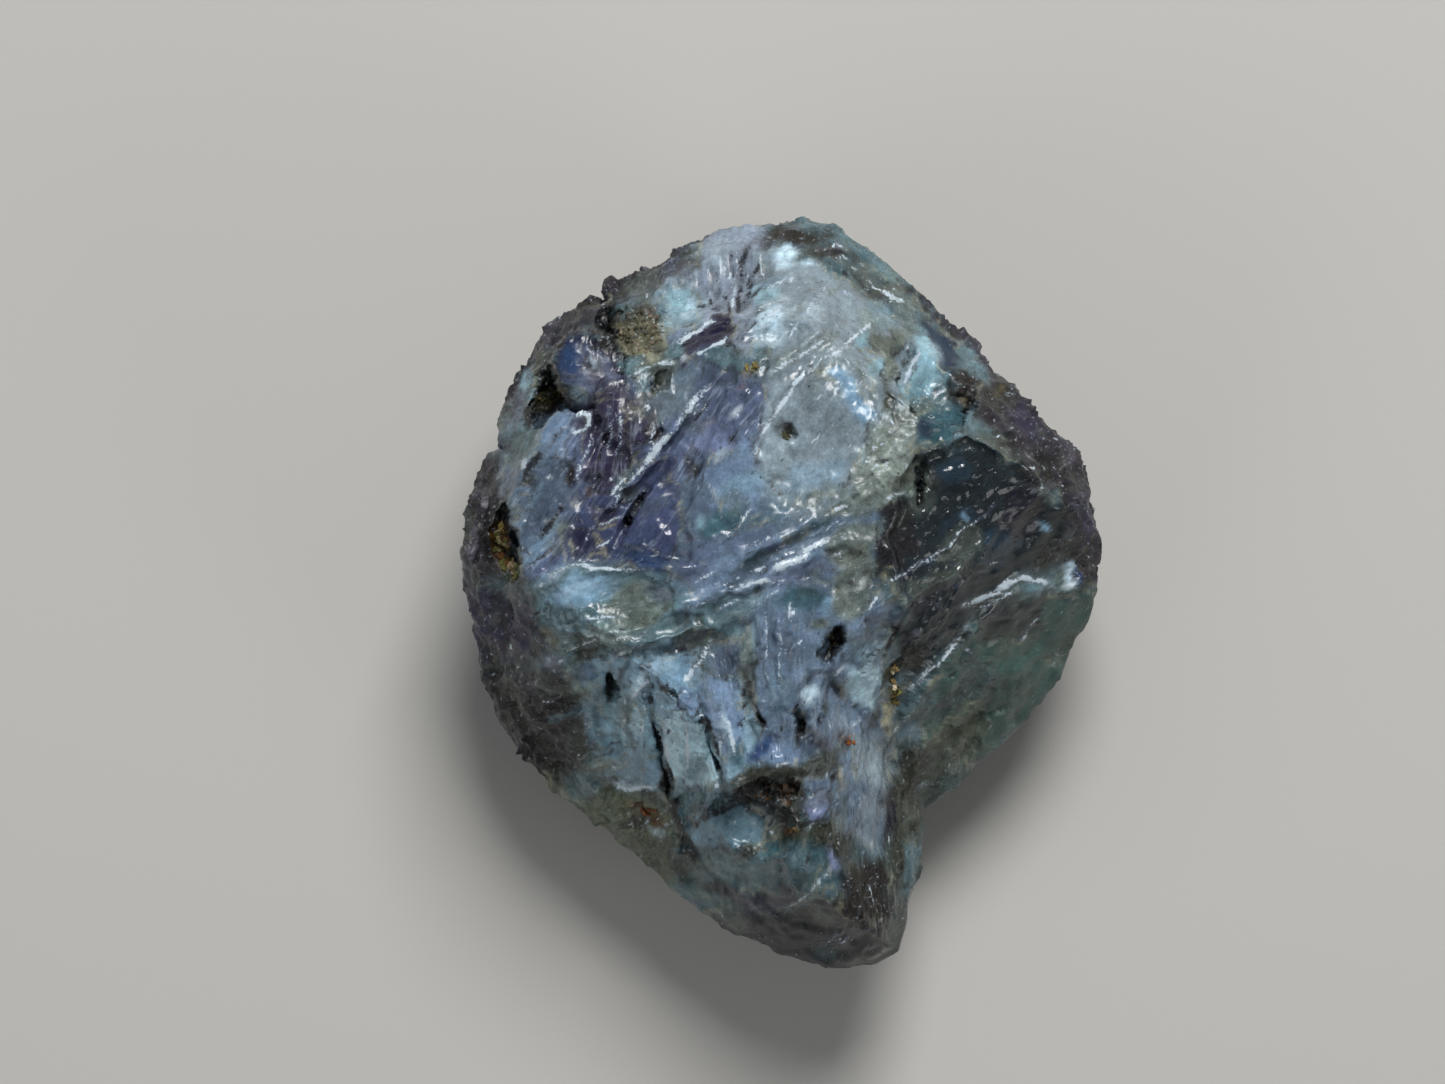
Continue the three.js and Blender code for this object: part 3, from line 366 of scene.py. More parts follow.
# Smaller zones, laid over those in this order: kind, strength, x, y, half sizes along and across, turn
patches = [
    # Upper left
    ("rimPale", 0.4, -235, 250, 25, 6, 65), ("rimPale", 0.5, -260, 185, 25, 8, 70),
    ("tan", 0.4, -236, 230, 10, 4, 80), ("cyan", 0.9, -247, 213, 12, 7, 60),
    ("rimPale", 0.9, -242, 218, 6, 4, 60), ("tan", 0.5, -228, 195, 12, 7, 20),
    # The rimPale and milk patches at -184, 224 and -184, 226 are the bead's painted highlight
    ("greyTeal", 0.5, -193, 266, 5, 3, 40), ("rimPale", 1, -184, 224, 14, 8, 130),
    ("milk", 0.5, -184, 226, 8, 4, 130), ("plum", 0.8, -168, 195, 20, 9, 125),
    ("greyTeal", 0.6, -202, 202, 9, 6, 130), ("tan", 0.8, -134, 285, 12, 4, 15),
    ("rimPale", 0.6, -130, 285, 8, 4, 0), ("tan", 0.9, -163, 266, 5, 4, 0),
    ("oliveDark", 0.6, -122, 240, 8, 7, 140), ("cream", 0.6, -130, 234, 8, 5, 140),
    ("greyTeal", 0.7, -114, 285, 10, 5, 60), ("greyTeal", 0.7, -155, 284, 10, 4, 40),
    ("plum", 0.7, -120, 315, 35, 10, 35), ("rimPale", 0.6, -135, 320, 6, 3, 40),
    ("rimPale", 0.6, -100, 333, 6, 3, 40), ("lilac", 0.6, -100, 253, 12, 4, 40),
    ("milk", 0.6, -90, 274, 7, 4, 20), ("milk", 0.5, -85, 282, 12, 5, 30),
    ("brown", 0.5, -68, 305, 4, 10, 20), ("paleGrey", 0.6, -60, 335, 20, 12, 60),
    ("lilacGrey", 0.8, -62, 285, 8, 8, 0), ("glint", 0.6, -95, 228, 2, 3, 0),
    ("violetBlue", 0.5, -55, 200, 20, 14, 50), ("deepBlue", 0.5, -78, 233, 14, 5, 35),
    ("tan", 0.8, -27, 221, 10, 6, 30), ("rust", 0.3, -36, 206, 5, 4, 0), ("brown", 0.7, -88, 130, 8, 5, 115),
    # Left face
    ("brown", 1, -118, 153, 8, 13, 10), ("plum", 0.8, -195, 162, 8, 7, 0), ("ink", 0.6, -152, 135, 9, 6, 0),
    ("ink", 0.6, -182, 114, 8, 5, 30), ("greyTeal", 0.6, -150, 112, 14, 5, 50),
    ("milk", 0.5, -60, 133, 8, 5, 40), ("glint", 0.6, -43, 178, 9, 3.5, 50),
    ("glint", 0.9, -228, 115, 3, 2, 0), ("glint", 0.9, -254, 129, 4, 3, 0),
    ("rimPale", 0.8, -257, 108, 4, 3, 0), ("brown", 1, -204, 115, 5, 11, 0),
    ("milkyBlue", 0.4, -240, 48, 14, 8, 40), ("milkyBlue", 0.5, -250, 30, 10, 4, 30),
    ("ink", 0.6, -223, 36, 12, 4, 40), ("olive", 0.7, -214, 68, 8, 6, 60),
    ("rust", 0.4, -186, 100, 6, 3, 10), ("rimPale", 0.6, -275, 150, 6, 12, 0),
    ("rimPale", 0.6, -292, 100, 10, 9, 60), ("rimPale", 0.7, -306, 52, 20, 8, 100),
    ("smokeBlue", 0.7, -310, 20, 10, 6, 90), ("black", 0.95, -288, 52, 28, 9, 96),
    ("black", 0.7, -283, 90, 22, 8, 100), ("amber", 1, -275, 50, 24, 9, 96),
    ("rust", 0.8, -276, 64, 6, 5, 0), ("olive", 0.8, -265, 33, 10, 5, 110),
    ("cream", 0.7, -264, 22, 6, 5, 0), ("rimPale", 0.5, -275, 34, 5, 5, 0),
    ("black", 0.9, -268, 10, 10, 5, 20), ("greyTeal", 0.7, -280, 0, 14, 8, 150),
    ("rimPale", 0.4, -265, 0, 6, 5, 0), ("milkyBlue", 0.9, -197, 0, 30, 14, 10),
    ("milk", 0.3, -195, 3, 16, 7, 10), ("olive", 0.8, -140, -15, 34, 20, 10),
    ("olivePale", 0.6, -175, -42, 40, 10, 8), ("greyBlue", 0.6, -105, 5, 25, 12, 20),
    ("lilacBlue", 0.5, -220, 20, 20, 5, 20),
    # Lower left
    ("tan", 0.6, -230, -47, 10, 6, 150), ("brown", 0.7, -243, -58, 5, 10, 150),
    ("rimPale", 0.8, -228, -66, 10, 7, 10), ("milk", 0.5, -232, -66, 3, 3, 0),
    ("greyTeal", 0.7, -213, -65, 8, 7, 0), ("rimPurple", 0.8, -250, -92, 28, 12, 160),
    ("rimPale", 0.3, -250, -87, 20, 5, 160), ("smokeBlue", 0.8, -198, -77, 10, 9, 30),
    ("lilacBlue", 0.6, -195, -75, 7, 5, 30), ("oliveDark", 0.8, -200, -62, 14, 6, 20),
    ("black", 0.9, -208, -108, 13, 5, 50), ("greyTeal", 0.6, -215, -121, 12, 3, 10),
    ("black", 0.9, -213, -130, 18, 5, 5), ("rimPurple", 0.7, -210, -155, 22, 20, 0),
    ("rust", 0.4, -257, -114, 3, 2, 0), ("olivePale", 0.5, -195, -98, 14, 3, 60),
    ("rimPale", 0.5, -267, -153, 4, 4, 0), ("rimPale", 0.5, -270, -145, 5, 3, 0),
    # Top
    ("brown", 1, 15, 356, 40, 10, 5), ("black", 0.8, -15, 346, 6, 6, 0), ("rimPale", 0.5, 0, 368, 20, 4, 0),
    ("milk", 1, 6, 333, 14, 9, 150), ("deepBlue", 0.7, 15, 343, 7, 3.5, 160),
    ("milk", 0.9, 30, 327, 7, 3.5, 150), ("teal", 0.9, 29, 334, 6, 4, 150), ("navy", 1, 48, 339, 32, 8, 172),
    ("rimPale", 0.7, 50, 345, 15, 3, 170), ("milk", 0.75, -11, 262, 17, 13, 30),
    ("cyan", 0.7, -15, 295, 16, 14, 0), ("milkyBlue", 0.4, -5, 310, 12, 8, 0),
    ("lensBlue", 0.95, 90, 314, 20, 8, 150), ("navy", 1, 105, 298, 20, 7, 5), ("navy", 1, 125, 303, 9, 8, 0),
    ("olivePale", 0.6, 120, 285, 20, 10, 130), ("cyan", 0.6, 98, 278, 16, 7, 140),
    ("olive", 0.5, 10, 230, 28, 9, 35), ("oliveDark", 0.6, -13, 237, 8, 4, 20),
    ("oliveDark", 0.7, 108, 190, 12, 5, 80), ("glint", 0.5, 91, 166, 4, 3, 60),
    ("milk", 0.3, 155, 235, 14, 6, 125), ("teal", 0.5, 138, 200, 16, 8, 60),
    ("greyTeal", 0.7, 188, 232, 14, 8, 120), ("tan", 0.6, 183, 190, 6, 5, 80),
    ("indigo", 0.6, 143, 163, 7, 10, 0), ("olivePale", 0.8, 140, 180, 20, 4, 25),
    ("brown", 0.9, 6, 157, 3.5, 6, 0), ("oliveDark", 0.7, 3, 155, 7, 8, 20),
    ("milkyBlue", 0.4, 35, 115, 35, 14, 20), ("olive", 0.7, 65, 100, 16, 6, 15),
    ("oliveDark", 0.8, 120, 109, 14, 7, 20), ("cyan", 0.4, 85, 135, 6, 5, 0),
    # Right
    ("smokeBlue", 0.7, 170, 120, 12, 16, 60), ("smokeBlue", 0.6, 178, 72, 16, 6, 25),
    ("smokeBlue", 0.8, 220, 52, 20, 12, 20), ("smokeBlue", 0.5, 205, 32, 16, 8, 0),
    ("ink", 0.95, 240, 80, 30, 20, 60), ("brown", 0.5, 145, 115, 10, 10, 0),
    ("milkyBlue", 0.8, 180, 72, 3, 2.5, 0), ("milkyBlue", 1, 265, 66, 6, 3, 125),
    ("oliveBrown", 0.8, 262, 32, 20, 10, 70), ("brown", 0.6, 280, 45, 10, 5, 40),
    ("black", 1, 285, 85, 20, 8, 95), ("olive", 0.5, 220, 142, 20, 6, 150),
    ("brown", 0.6, 210, 195, 20, 12, 70), ("tan", 0.5, 218, 200, 5, 4, 0),
    ("ink", 0.9, 225, 160, 14, 7, 125), ("black", 0.8, 233, 148, 8, 4, 110),
    ("ink", 0.6, 252, 133, 6, 5, 120), ("rimPurple", 0.8, 260, 115, 16, 7, 10),
    ("black", 0.6, 266, 115, 9, 4, 150), ("rimPale", 0.35, 205, 240, 30, 6, 132),
    ("rimPale", 0.35, 285, 140, 30, 6, 110), ("rimViolet", 0.7, 250, 165, 25, 12, 130),
    ("rimPale", 0.4, 305, 85, 30, 6, 100), ("rimViolet", 0.6, 300, 70, 30, 12, 100),
    ("rimPale", 0.8, 273, 108, 5, 3, 0), ("milk", 1, 291, 25, 6, 4, 45), ("glint", 1, 291, 7, 6, 5, 60),
    ("milk", 0.9, 287, 16, 3, 9, 0), ("deepBlue", 0.9, 297, 16, 4, 10, 0), ("olive", 0.7, 280, 12, 5, 7, 0),
    ("ink", 0.5, 148, -10, 18, 10, 0), ("olive", 0.35, 170, 15, 30, 8, 20),
    ("cream", 0.8, 105, 16, 3, 2.5, 0),
    # Fold across the middle
    ("violet", 0.7, -2, 42, 12, 7, 25), ("teal", 0.7, -22, 28, 13, 6, 25),
    ("teal", 0.85, -52, 69, 26, 13, 25), ("cyan", 0.6, -79, 73, 5, 7, 0),
    ("violetBlue", 0.7, -78, 30, 24, 16, 40), ("rimPale", 0.4, -88, 56, 12, 4, 0),
    ("lilac", 0.4, 10, 20, 30, 8, 25), ("milkyBlue", 0.4, 35, 40, 20, 6, 25),
    ("olive", 0.8, 72, 50, 26, 20, 40), ("olive", 0.8, 75, 12, 20, 32, 0), ("smoke", 0.7, -2, 39, 50, 6, 33),
    ("smoke", 0.65, -50, -7, 28, 8, 20), ("violetBlue", 0.7, 22, 17, 28, 9, 25),
    ("olive", 0.8, 78, 90, 45, 10, 15), ("violetBlue", 0.6, -28, 50, 26, 10, 25),
    ("olivePale", 0.8, 60, 0, 10, 14, 0), ("tan", 0.6, 104, 16, 5, 4, 0), ("brown", 0.6, 72, 14, 5, 4, 0),
    ("greyTeal", 0.7, -50, -15, 40, 12, 15), ("lilacBlue", 0.5, -72, 15, 14, 4, 25),
    ("paleGrey", 0.5, 35, 85, 40, 8, 25), ("cyan", 0.4, -35, 105, 25, 10, 20),
    # Columns
    ("milk", 0.35, -120, -76, 16, 7, 10), ("milk", 0.4, -98, -133, 14, 8, 10),
    ("greyTeal", 0.5, -85, -175, 12, 14, 0), ("tan", 0.7, -114, -180, 3, 10, 10),
    ("cream", 0.4, -170, -175, 20, 6, 5), ("deepBlue", 0.6, -162, -200, 6, 3, 10),
    ("milk", 0.7, -145, -195, 22, 3.5, 5), ("rust", 0.5, -159, -164.5, 3, 1.5, 20),
    ("oliveDark", 0.9, -165, -103, 5, 12, 0), ("black", 0.8, -174, -79, 3, 5, 0),
    ("oliveDark", 0.9, -109, -99, 2.5, 2.5, 0), ("olivePale", 0.8, -31, -70, 5, 45, 0),
    ("olivePale", 0.5, -192, -96, 14, 5, 55), ("cyan", 0.4, -24, -38, 5, 14, 0),
    ("oliveDark", 0.8, -22, -75, 2.5, 25, 0), ("black", 1, -20, -126, 9, 3.5, 125),
    ("deepBlue", 1, -21, -154, 19, 7, 55), ("teal", 0.9, 22, -4, 28, 9, 10),
    ("ovalTeal", 0.4, 2, -100, 14, 25, 0), ("greyBlue", 0.5, 10, -42, 18, 22, 165),
    ("greyBlue", 0.6, -10, -125, 8, 16, 0), ("cream", 0.4, 35, -175, 15, 5, 20),
    ("brown", 0.95, 42, -150, 20, 7, 130), ("oliveBrown", 0.95, -12, -179, 52, 8, 12),
    ("oliveDark", 0.9, 35, -168, 28, 8, 20), ("brown", 0.9, -28, -95, 3.5, 22, 4),
    ("brown", 1, -110, -188, 5, 20, 12), ("oliveBrown", 0.8, -69, -140, 3.5, 22, 4),
    ("navy", 0.7, -158, -78, 16, 4, 55), ("milk", 0.8, -142, -92, 5, 16, 140),
    ("milk", 0.6, -112, -142, 3.5, 20, 8), ("milk", 0.6, -55, -130, 4, 18, 10),
    # The narrow upright teal patches at -149, -130 and -180, -135 are painted shade on the columns' right
    # sides
    ("teal", 0.8, -149, -130, 4, 30, 5), ("teal", 0.8, -45, -162, 8, 12, 0),
    ("navy", 0.8, -85, -52, 30, 5, 12), ("teal", 0.7, -180, -135, 4, 28, 5),
    ("oliveDark", 0.8, -198, -145, 7, 20, 0), ("tan", 0.7, 60, -98, 5, 10, 0),
    ("oliveBrown", 0.9, 66, -92, 4, 11, 0), ("milk", 0.8, 32, -104, 10, 6, 20),
    ("brown", 0.9, 24, -130, 5, 14, 160), ("olive", 0.7, 102, -60, 6, 30, 0),
    ("oliveBrown", 0.8, 96, -110, 4, 24, 0),
    # Middle right
    ("olive", 0.8, 40, -28, 10, 5, 0), ("olive", 0.5, 56, -44, 3, 3, 0),
    ("olivePale", 0.8, 65, -13, 10, 13, 0), ("milkyBlue", 0.8, 45, -9, 5, 9, 0),
    ("paleBlue", 0.7, 90, -32, 14, 18, 0), ("columnCyan", 0.95, 82, -92, 19, 25, 0),
    ("milk", 0.35, 83, -87, 10, 8, 0), ("lilacGrey", 0.5, 55, -140, 20, 16, 0),
    ("greyTeal", 0.5, 82, -55, 14, 10, 0), ("brown", 0.8, 54, -94.5, 3, 4, 0),
    ("oliveDark", 0.8, 47.6, -114.5, 4, 5, 0), ("oliveDark", 0.7, 78, -117.6, 3, 2, 0),
    ("brown", 0.7, 85.5, -137.6, 3, 2, 0), ("rust", 1, 67.7, -148, 7, 3, 0),
    ("milk", 0.5, 36, -103, 7, 5, 10), ("cream", 0.6, 20, -120, 6, 3, 0),
    ("black", 0.9, 17, -140, 3, 12, 165), ("tan", 0.8, 113, -80, 4, 7, 0), ("tan", 0.9, 114, -100, 5, 10, 0),
    ("cream", 0.6, 109, -138, 5, 8, 0), ("black", 0.9, 111, -42, 3.5, 13, 160),
    ("oliveBrown", 0.8, 135, -65, 14, 18, 150), ("greyTeal", 0.5, 128, -82, 7, 7, 0),
    ("greyTeal", 0.6, 145, -115, 20, 12, 20), ("rimPurple", 0.5, 172, -105, 18, 14, 40),
    ("rimPale", 0.6, 138, -38, 7, 5, 20), ("greyTeal", 0.4, 121, -21, 7, 5, 20),
    ("olive", 0.6, 42, -162, 25, 6, 10), ("brown", 0.9, 52, -180, 6, 7, 0),
    ("cream", 0.6, 60, -180, 5, 10, 0), ("amber", 0.9, 272, -65, 3, 2, 20),
    ("black", 0.7, 194, -88, 3, 3, 0), ("rimPale", 0.25, 198, -85, 20, 25, 45),
    ("olive", 0.4, 245, -105, 30, 8, 50), ("olive", 0.4, 285, -60, 25, 6, 65),
    ("rimPale", 0.3, 190, -178, 40, 6, 42),
    # Foot
    ("brown", 0.7, 0, -217, 16, 6, 160), ("rust", 0.6, 3, -205, 5, 3, 0), ("rust", 0.7, 10, -235, 6, 3.5, 0),
    ("amber", 0.9, -135, -220, 20, 7, 165), ("milk", 0.5, -127, -234, 9, 3.5, 160),
    ("black", 1, -101, -227, 5, 28, 8), ("black", 1, -87, -261, 12, 6, 150),
    ("brown", 0.9, -95, -274, 8, 12, 0), ("milkyBlue", 0.5, -74, -245, 12, 7, 20),
    ("oliveBrown", 0.9, -36, -262, 9, 10, 0), ("cyan", 0.35, -50, -233, 20, 8, 10),
    ("smoke", 0.8, -62, -293, 8, 6, 0), ("rimPale", 0.8, -86, -314, 6, 4, 150),
    ("oliveBrown", 0.5, -120, -260, 30, 18, 140), ("ink", 0.9, 108, -220, 6, 27, 170),
    ("brown", 0.6, 120, -250, 5, 8, 0), ("paleGrey", 0.6, 85, -225, 10, 25, 170),
    ("rimViolet", 0.6, 86, -337, 12, 6, 20), ("ink", 0.7, 112, -325, 10, 18, 0),
    ("teal", 0.5, 42, -360, 12, 8, 0), ("oliveDark", 0.5, 25, -290, 20, 8, 45),
    ("indigo", 0.85, -10, -308, 34, 11, 20), ("brown", 0.8, -150, -235, 12, 5, 30),
    ("oliveBrown", 0.8, 62, -250, 10, 20, 20), ("ink", 0.8, -55, -300, 25, 6, 150),
]

# Single veins, painted glints (highlights of light on the ridges) and dark slits: kind, strength, width,
# height, x and y of each point
strokes = [
    # Crest
    ("ink", 0.8, 0.07, -0.04, -30, 350, -36, 335, -42, 320, -36, 310),
    ("ink", 0.7, 0.04, -0.04, -48, 347, -50, 330, -51, 320, -43, 313),
    ("ink", 0.8, 0.045, -0.04, -18, 333, -22, 322, -30, 315, -36, 308, -45, 310),
    ("ink", 0.9, 0.05, -0.05, -43, 315, -42, 295, -44, 275),
    ("ink", 0.8, 0.06, -0.04, -30, 312, -32, 297, -38, 288, -40, 274),
    ("ink", 0.7, 0.04, -0.03, -15, 315, -22, 300, -33, 288, -42, 276),
    ("ink", 0.7, 0.035, -0.03, -40, 312, -50, 307, -57, 299),
    ("ink", 0.7, 0.04, -0.03, -62, 322, -64, 310, -60, 305, -66, 292),
    ("ink", 0.7, 0.04, -0.03, -67, 299, -55, 295, -53, 285, -50, 275),
    ("ink", 0.8, 0.04, -0.04, -86, 288, -75, 285, -65, 284, -55, 288),
    ("ink", 0.7, 0.035, -0.02, -70, 296, -69, 285), ("ink", 0.7, 0.04, -0.03, -18, 282, -30, 270, -44, 250),
    ("ink", 0.6, 0.035, -0.03, -22, 270, -36, 253), ("ink", 0.7, 0.035, -0.02, -97, 261, -85, 267, -73, 267),
    ("glint", 0.7, 0.03, 0.02, -60, 330, -55, 320, -48, 312, -42, 310),
    ("glint", 0.7, 0.025, 0.02, -64, 303, -57, 322),
    ("glint", 0.7, 0.025, 0.02, -45, 312, -47, 295, -49, 278),
    ("glint", 0.6, 0.025, 0.02, -20, 342, -19, 325, -17, 310),
    ("glint", 0.5, 0.025, 0.02, -117, 302, -110, 290, -107, 283),
    ("glint", 0.6, 0.03, 0.03, -106, 298, -102, 296), ("glint", 0.6, 0.03, 0.03, -134, 303, -133, 292),
    ("glint", 0.6, 0.035, 0.03, -114, 276, -108, 266, -112, 260),
    ("glint", 0.5, 0.03, 0.03, -122, 265, -115, 260, -116, 250),
    ("lilacGlint", 0.8, 0.04, 0.03, -105, 245, -90, 255, -75, 262, -62, 270),
    ("lilacGlint", 0.8, 0.03, 0.02, -87, 238, -80, 236, -70, 242, -58, 250, -50, 256),
    ("cream", 0.7, 0.04, 0.04, -148, 210, -135, 220, -120, 227, -100, 226),
    # Milky top
    ("glint", 0.6, 0.025, 0.02, -15, 303, 0, 308, 6, 313), ("glint", 0.6, 0.025, 0.02, 10, 316, 11, 304),
    ("glint", 0.9, 0.035, 0.03, -25, 279, -15, 284, 0, 287, 14, 290),
    ("glint", 0.6, 0.025, 0.02, -42, 272, -29, 279), ("glint", 0.7, 0.025, 0.02, -14, 269, -5, 275, 2, 278),
    ("glint", 0.6, 0.025, 0.02, -22, 243, -12, 248, -3, 254),
    ("lilacGlint", 0.6, 0.03, 0.02, 8, 250, 25, 276, 42, 303),
    ("lilacGlint", 0.5, 0.03, 0.02, 55, 298, 70, 296, 90, 303),
    ("glint", 0.5, 0.045, 0.03, 50, 255, 37, 245, 18, 233, 1, 222, -22, 210),
    ("glint", 0.5, 0.05, 0.03, 70, 246, 55, 236, 38, 229),
    ("glint", 0.9, 0.045, 0.05, 33, 223, 25, 216, 14, 205, 10, 196, 0, 184, -10, 171, -18, 158, -26, 148),
    ("glint", 0.7, 0.03, 0.02, -21, 224, -15, 220), ("olive", 0.7, 0.06, -0.02, 72, 228, 82, 210, 94, 188),
    ("milk", 0.8, 0.05, 0.03, 140, 243, 130, 225, 121, 205), ("glint", 0.8, 0.04, 0.03, 131, 230, 126, 216),
    ("lensBlue", 1, 0.08, -0.03, 144, 262, 157, 258, 168, 242, 175, 220),
    ("cream", 0.6, 0.035, 0.03, 75, 326, 95, 302, 120, 290, 142, 278),
    ("glint", 0.6, 0.025, 0.03, 40, 345, 55, 346, 68, 340),
    ("glint", 0.5, 0.025, 0.03, 45, 332, 60, 334, 72, 328),
    ("glint", 0.5, 0.03, 0.03, 50, 310, 42, 298, 30, 278),
    ("navy", 0.8, 0.05, -0.04, 70, 322, 85, 302, 100, 288),
    ("cream", 0.6, 0.035, 0.03, 50, 235, 70, 250, 95, 270, 120, 280),
    ("cream", 0.6, 0.03, 0.02, 126, 182, 146, 189), ("glint", 0.8, 0.03, 0.02, 89, 141, 106, 149),
    ("glint", 0.5, 0.03, 0.02, 103, 170, 116, 167), ("glint", 0.7, 0.03, 0.02, 126, 135, 130, 131),
    ("glint", 0.5, 0.03, 0.02, 92, 127, 98, 124), ("brown", 0.6, 0.03, -0.02, 90, 130, 100, 128, 112, 133),
    ("brown", 0.5, 0.03, -0.02, 100, 160, 112, 158, 120, 162),
    ("black", 1, 0.06, -0.1, 136, 142, 138, 120, 138, 100, 137, 80),
    ("black", 0.9, 0.05, -0.08, 136, 138, 136, 115), ("cream", 0.7, 0.03, 0.02, 51, 81, 67, 86),
    ("glint", 0.7, 0.03, 0.02, 100, 88, 108, 95, 122, 100),
    # Violet face
    ("lilacGlint", 0.9, 0.07, 0.05, -72, 203, -90, 180, -105, 160),
    ("lilacGlint", 0.8, 0.06, 0.04, -100, 166, -120, 142, -140, 120, -160, 100),
    ("brown", 0.9, 0.06, -0.08, -235, 142, -245, 130, -255, 112, -261, 104),
    ("glint", 0.7, 0.025, 0.02, -240, 160, -242, 150),
    ("glint", 0.8, 0.035, 0.03, -205, 171, -197, 176, -188, 174, -188, 165, -193, 160, -203, 157, -204, 152),
    ("glint", 0.8, 0.03, 0.03, -198, 180, -197, 173),
    ("lilacGlint", 0.6, 0.035, 0.03, -156, 180, -157, 150, -162, 136),
    ("lilacGlint", 0.5, 0.03, 0.02, -170, 190, -166, 160, -172, 130),
    ("lilacGlint", 0.8, 0.03, 0.03, -131, 188, -130, 179),
    ("lilacGlint", 0.5, 0.03, 0.03, -112, 170, -124, 166, -128, 150, -122, 138),
    ("greyTeal", 0.8, 0.04, 0.02, -114, 182, -120, 170, -116, 162),
    ("glint", 0.7, 0.03, 0.02, -167, 98, -160, 108, -155, 113, -148, 116),
    ("glint", 0.8, 0.04, 0.03, -170, 113, -166, 111), ("ink", 0.8, 0.035, -0.03, -164, 122, -148, 108),
    ("ink", 0.7, 0.035, -0.03, -33, 173, -50, 148, -53, 136),
    ("ink", 0.7, 0.035, -0.03, -65, 195, -80, 175, -90, 160),
    ("ink", 0.9, 0.045, -0.08, -130, 110, -140, 90, -150, 70, -157, 50, -163, 37),
    ("lilacGlint", 0.6, 0.025, 0.02, -172, 99, -150, 93),
    ("lilacGlint", 0.6, 0.025, 0.02, -170, 84, -160, 86, -150, 82),
    ("glint", 0.6, 0.025, 0.02, -190, 62, -175, 68, -163, 73, -152, 75),
    ("lilacGlint", 0.6, 0.025, 0.02, -182, 44, -170, 50, -162, 61),
    ("indigo", 0.7, 0.07, -0.04, -208, 97, -225, 70, -242, 47),
    ("indigo", 0.6, 0.06, -0.04, -228, 93, -240, 72, -250, 55),
    ("milkyBlue", 0.6, 0.07, 0.04, -212, 78, -228, 58, -242, 38),
    ("ink", 0.6, 0.05, -0.03, -220, 50, -235, 35, -252, 27),
    ("milkyBlue", 0.5, 0.05, 0.03, -235, 110, -250, 85, -260, 60),
    ("ink", 0.5, 0.04, -0.03, -195, 145, -205, 130, -215, 120),
    ("lilacGlint", 0.5, 0.04, 0.03, -185, 155, -195, 130, -200, 105),
    ("ink", 0.6, 0.04, -0.03, -175, 150, -182, 125, -180, 105),
    ("glint", 0.8, 0.035, 0.04, -242, 5, -230, 10, -215, 22, -205, 25, -195, 28, -180, 24, -150, 22, -128,
        25), ("greyTeal", 0.6, 0.05, 0.02, -95, 115, -97, 80, -98, 40),
    # Fold
    ("glint", 0.9, 0.045, 0.05, -48, 0, -35, 7, -25, 10, -7, 14),
    ("glint", 0.6, 0.03, 0.03, -41, 8, -22, 14),
    ("glint", 1, 0.06, 0.06, -12, 19, -3, 24, 7, 28, 17, 33, 30, 38),
    ("glint", 0.9, 0.04, 0.04, 15, 38, 24, 41, 34, 47, 48, 53),
    ("lilacGlint", 0.6, 0.035, 0.03, -40, 43, -28, 47, -17, 52, -2, 57),
    ("ink", 0.5, 0.04, -0.03, -30, 15, -10, 26, 10, 38),
    ("lilacGlint", 0.4, 0.03, 0.02, -115, -22, -90, -14, -60, -4),
    ("lilacGlint", 0.5, 0.03, 0.02, -86, 8, -74, 15, -60, 23),
    ("glint", 0.6, 0.025, 0.02, -26, 89, -35, 75, -41, 66, -50, 57, -61, 53),
    ("lilacGlint", 0.5, 0.03, 0.02, -53, 98, -33, 97), ("glint", 0.6, 0.025, 0.02, 55, 44, 59, 33),
    ("glint", 0.8, 0.03, 0.02, 8.5, -11, 9.5, -25), ("glint", 0.6, 0.025, 0.02, 87, -18, 97, -1),
    ("ink", 0.6, 0.035, -0.02, 95.5, 85, 95.5, 55, 96, 25),
    # Left middle
    ("lilacGlint", 0.5, 0.03, 0.02, -200, -27, -175, -25, -150, -23),
    ("glint", 0.5, 0.03, 0.03, -196, -47, -175, -40, -155, -37),
    ("cream", 0.5, 0.03, 0.03, -220, -60, -187, -51, -144, -43),
    ("glint", 0.5, 0.025, 0.02, -213, -74, -210, -86), ("glint", 0.6, 0.03, 0.03, -214, -49, -209, -47),
    ("glint", 0.6, 0.03, 0.03, -218, -70, -215, -66), ("rimPale", 0.9, 0.03, 0.03, -271, -52, -265, -57),
    ("glint", 0.6, 0.03, 0.03, -248, -35, -246, -35), ("glint", 0.6, 0.03, 0.03, -261, -75, -259, -76),
    ("glint", 0.5, 0.03, 0.03, -291, -12, -288, -15),
    ("greyTeal", 0.8, 0.03, 0.03, -227, -124, -215, -121, -205, -117),
    # Columns
    ("glint", 0.7, 0.03, 0.02, -172, -70, -155, -60, -133, -50),
    ("glint", 0.7, 0.03, 0.02, -139, -75, -124, -68),
    ("milk", 0.8, 0.04, 0.03, -118, -128, -115, -150, -108, -175),
    ("milk", 0.7, 0.035, 0.03, -95, -127, -92, -155, -90, -185),
    ("milk", 0.7, 0.04, 0.03, -62, -118, -50, -130, -44, -160),
    ("milk", 0.6, 0.04, 0.03, -136, -110, -130, -130, -124, -145),
    ("oliveDark", 0.9, 0.05, -0.06, -128, -115, -124, -140, -120, -160),
    ("oliveDark", 0.8, 0.04, -0.05, -72, -125, -68, -145, -66, -160),
    ("brown", 0.9, 0.05, -0.05, -28, -100, -22, -120, -16, -135),
    # The teal stroke is painted shade along a column's right side
    ("teal", 0.8, 0.06, -0.04, -155, -100, -162, -130, -158, -160),
    ("glint", 0.8, 0.03, 0.03, -146, -104, -141, -97, -130, -87),
    ("lilacGlint", 0.5, 0.025, 0.02, -126, -31, -142, -50),
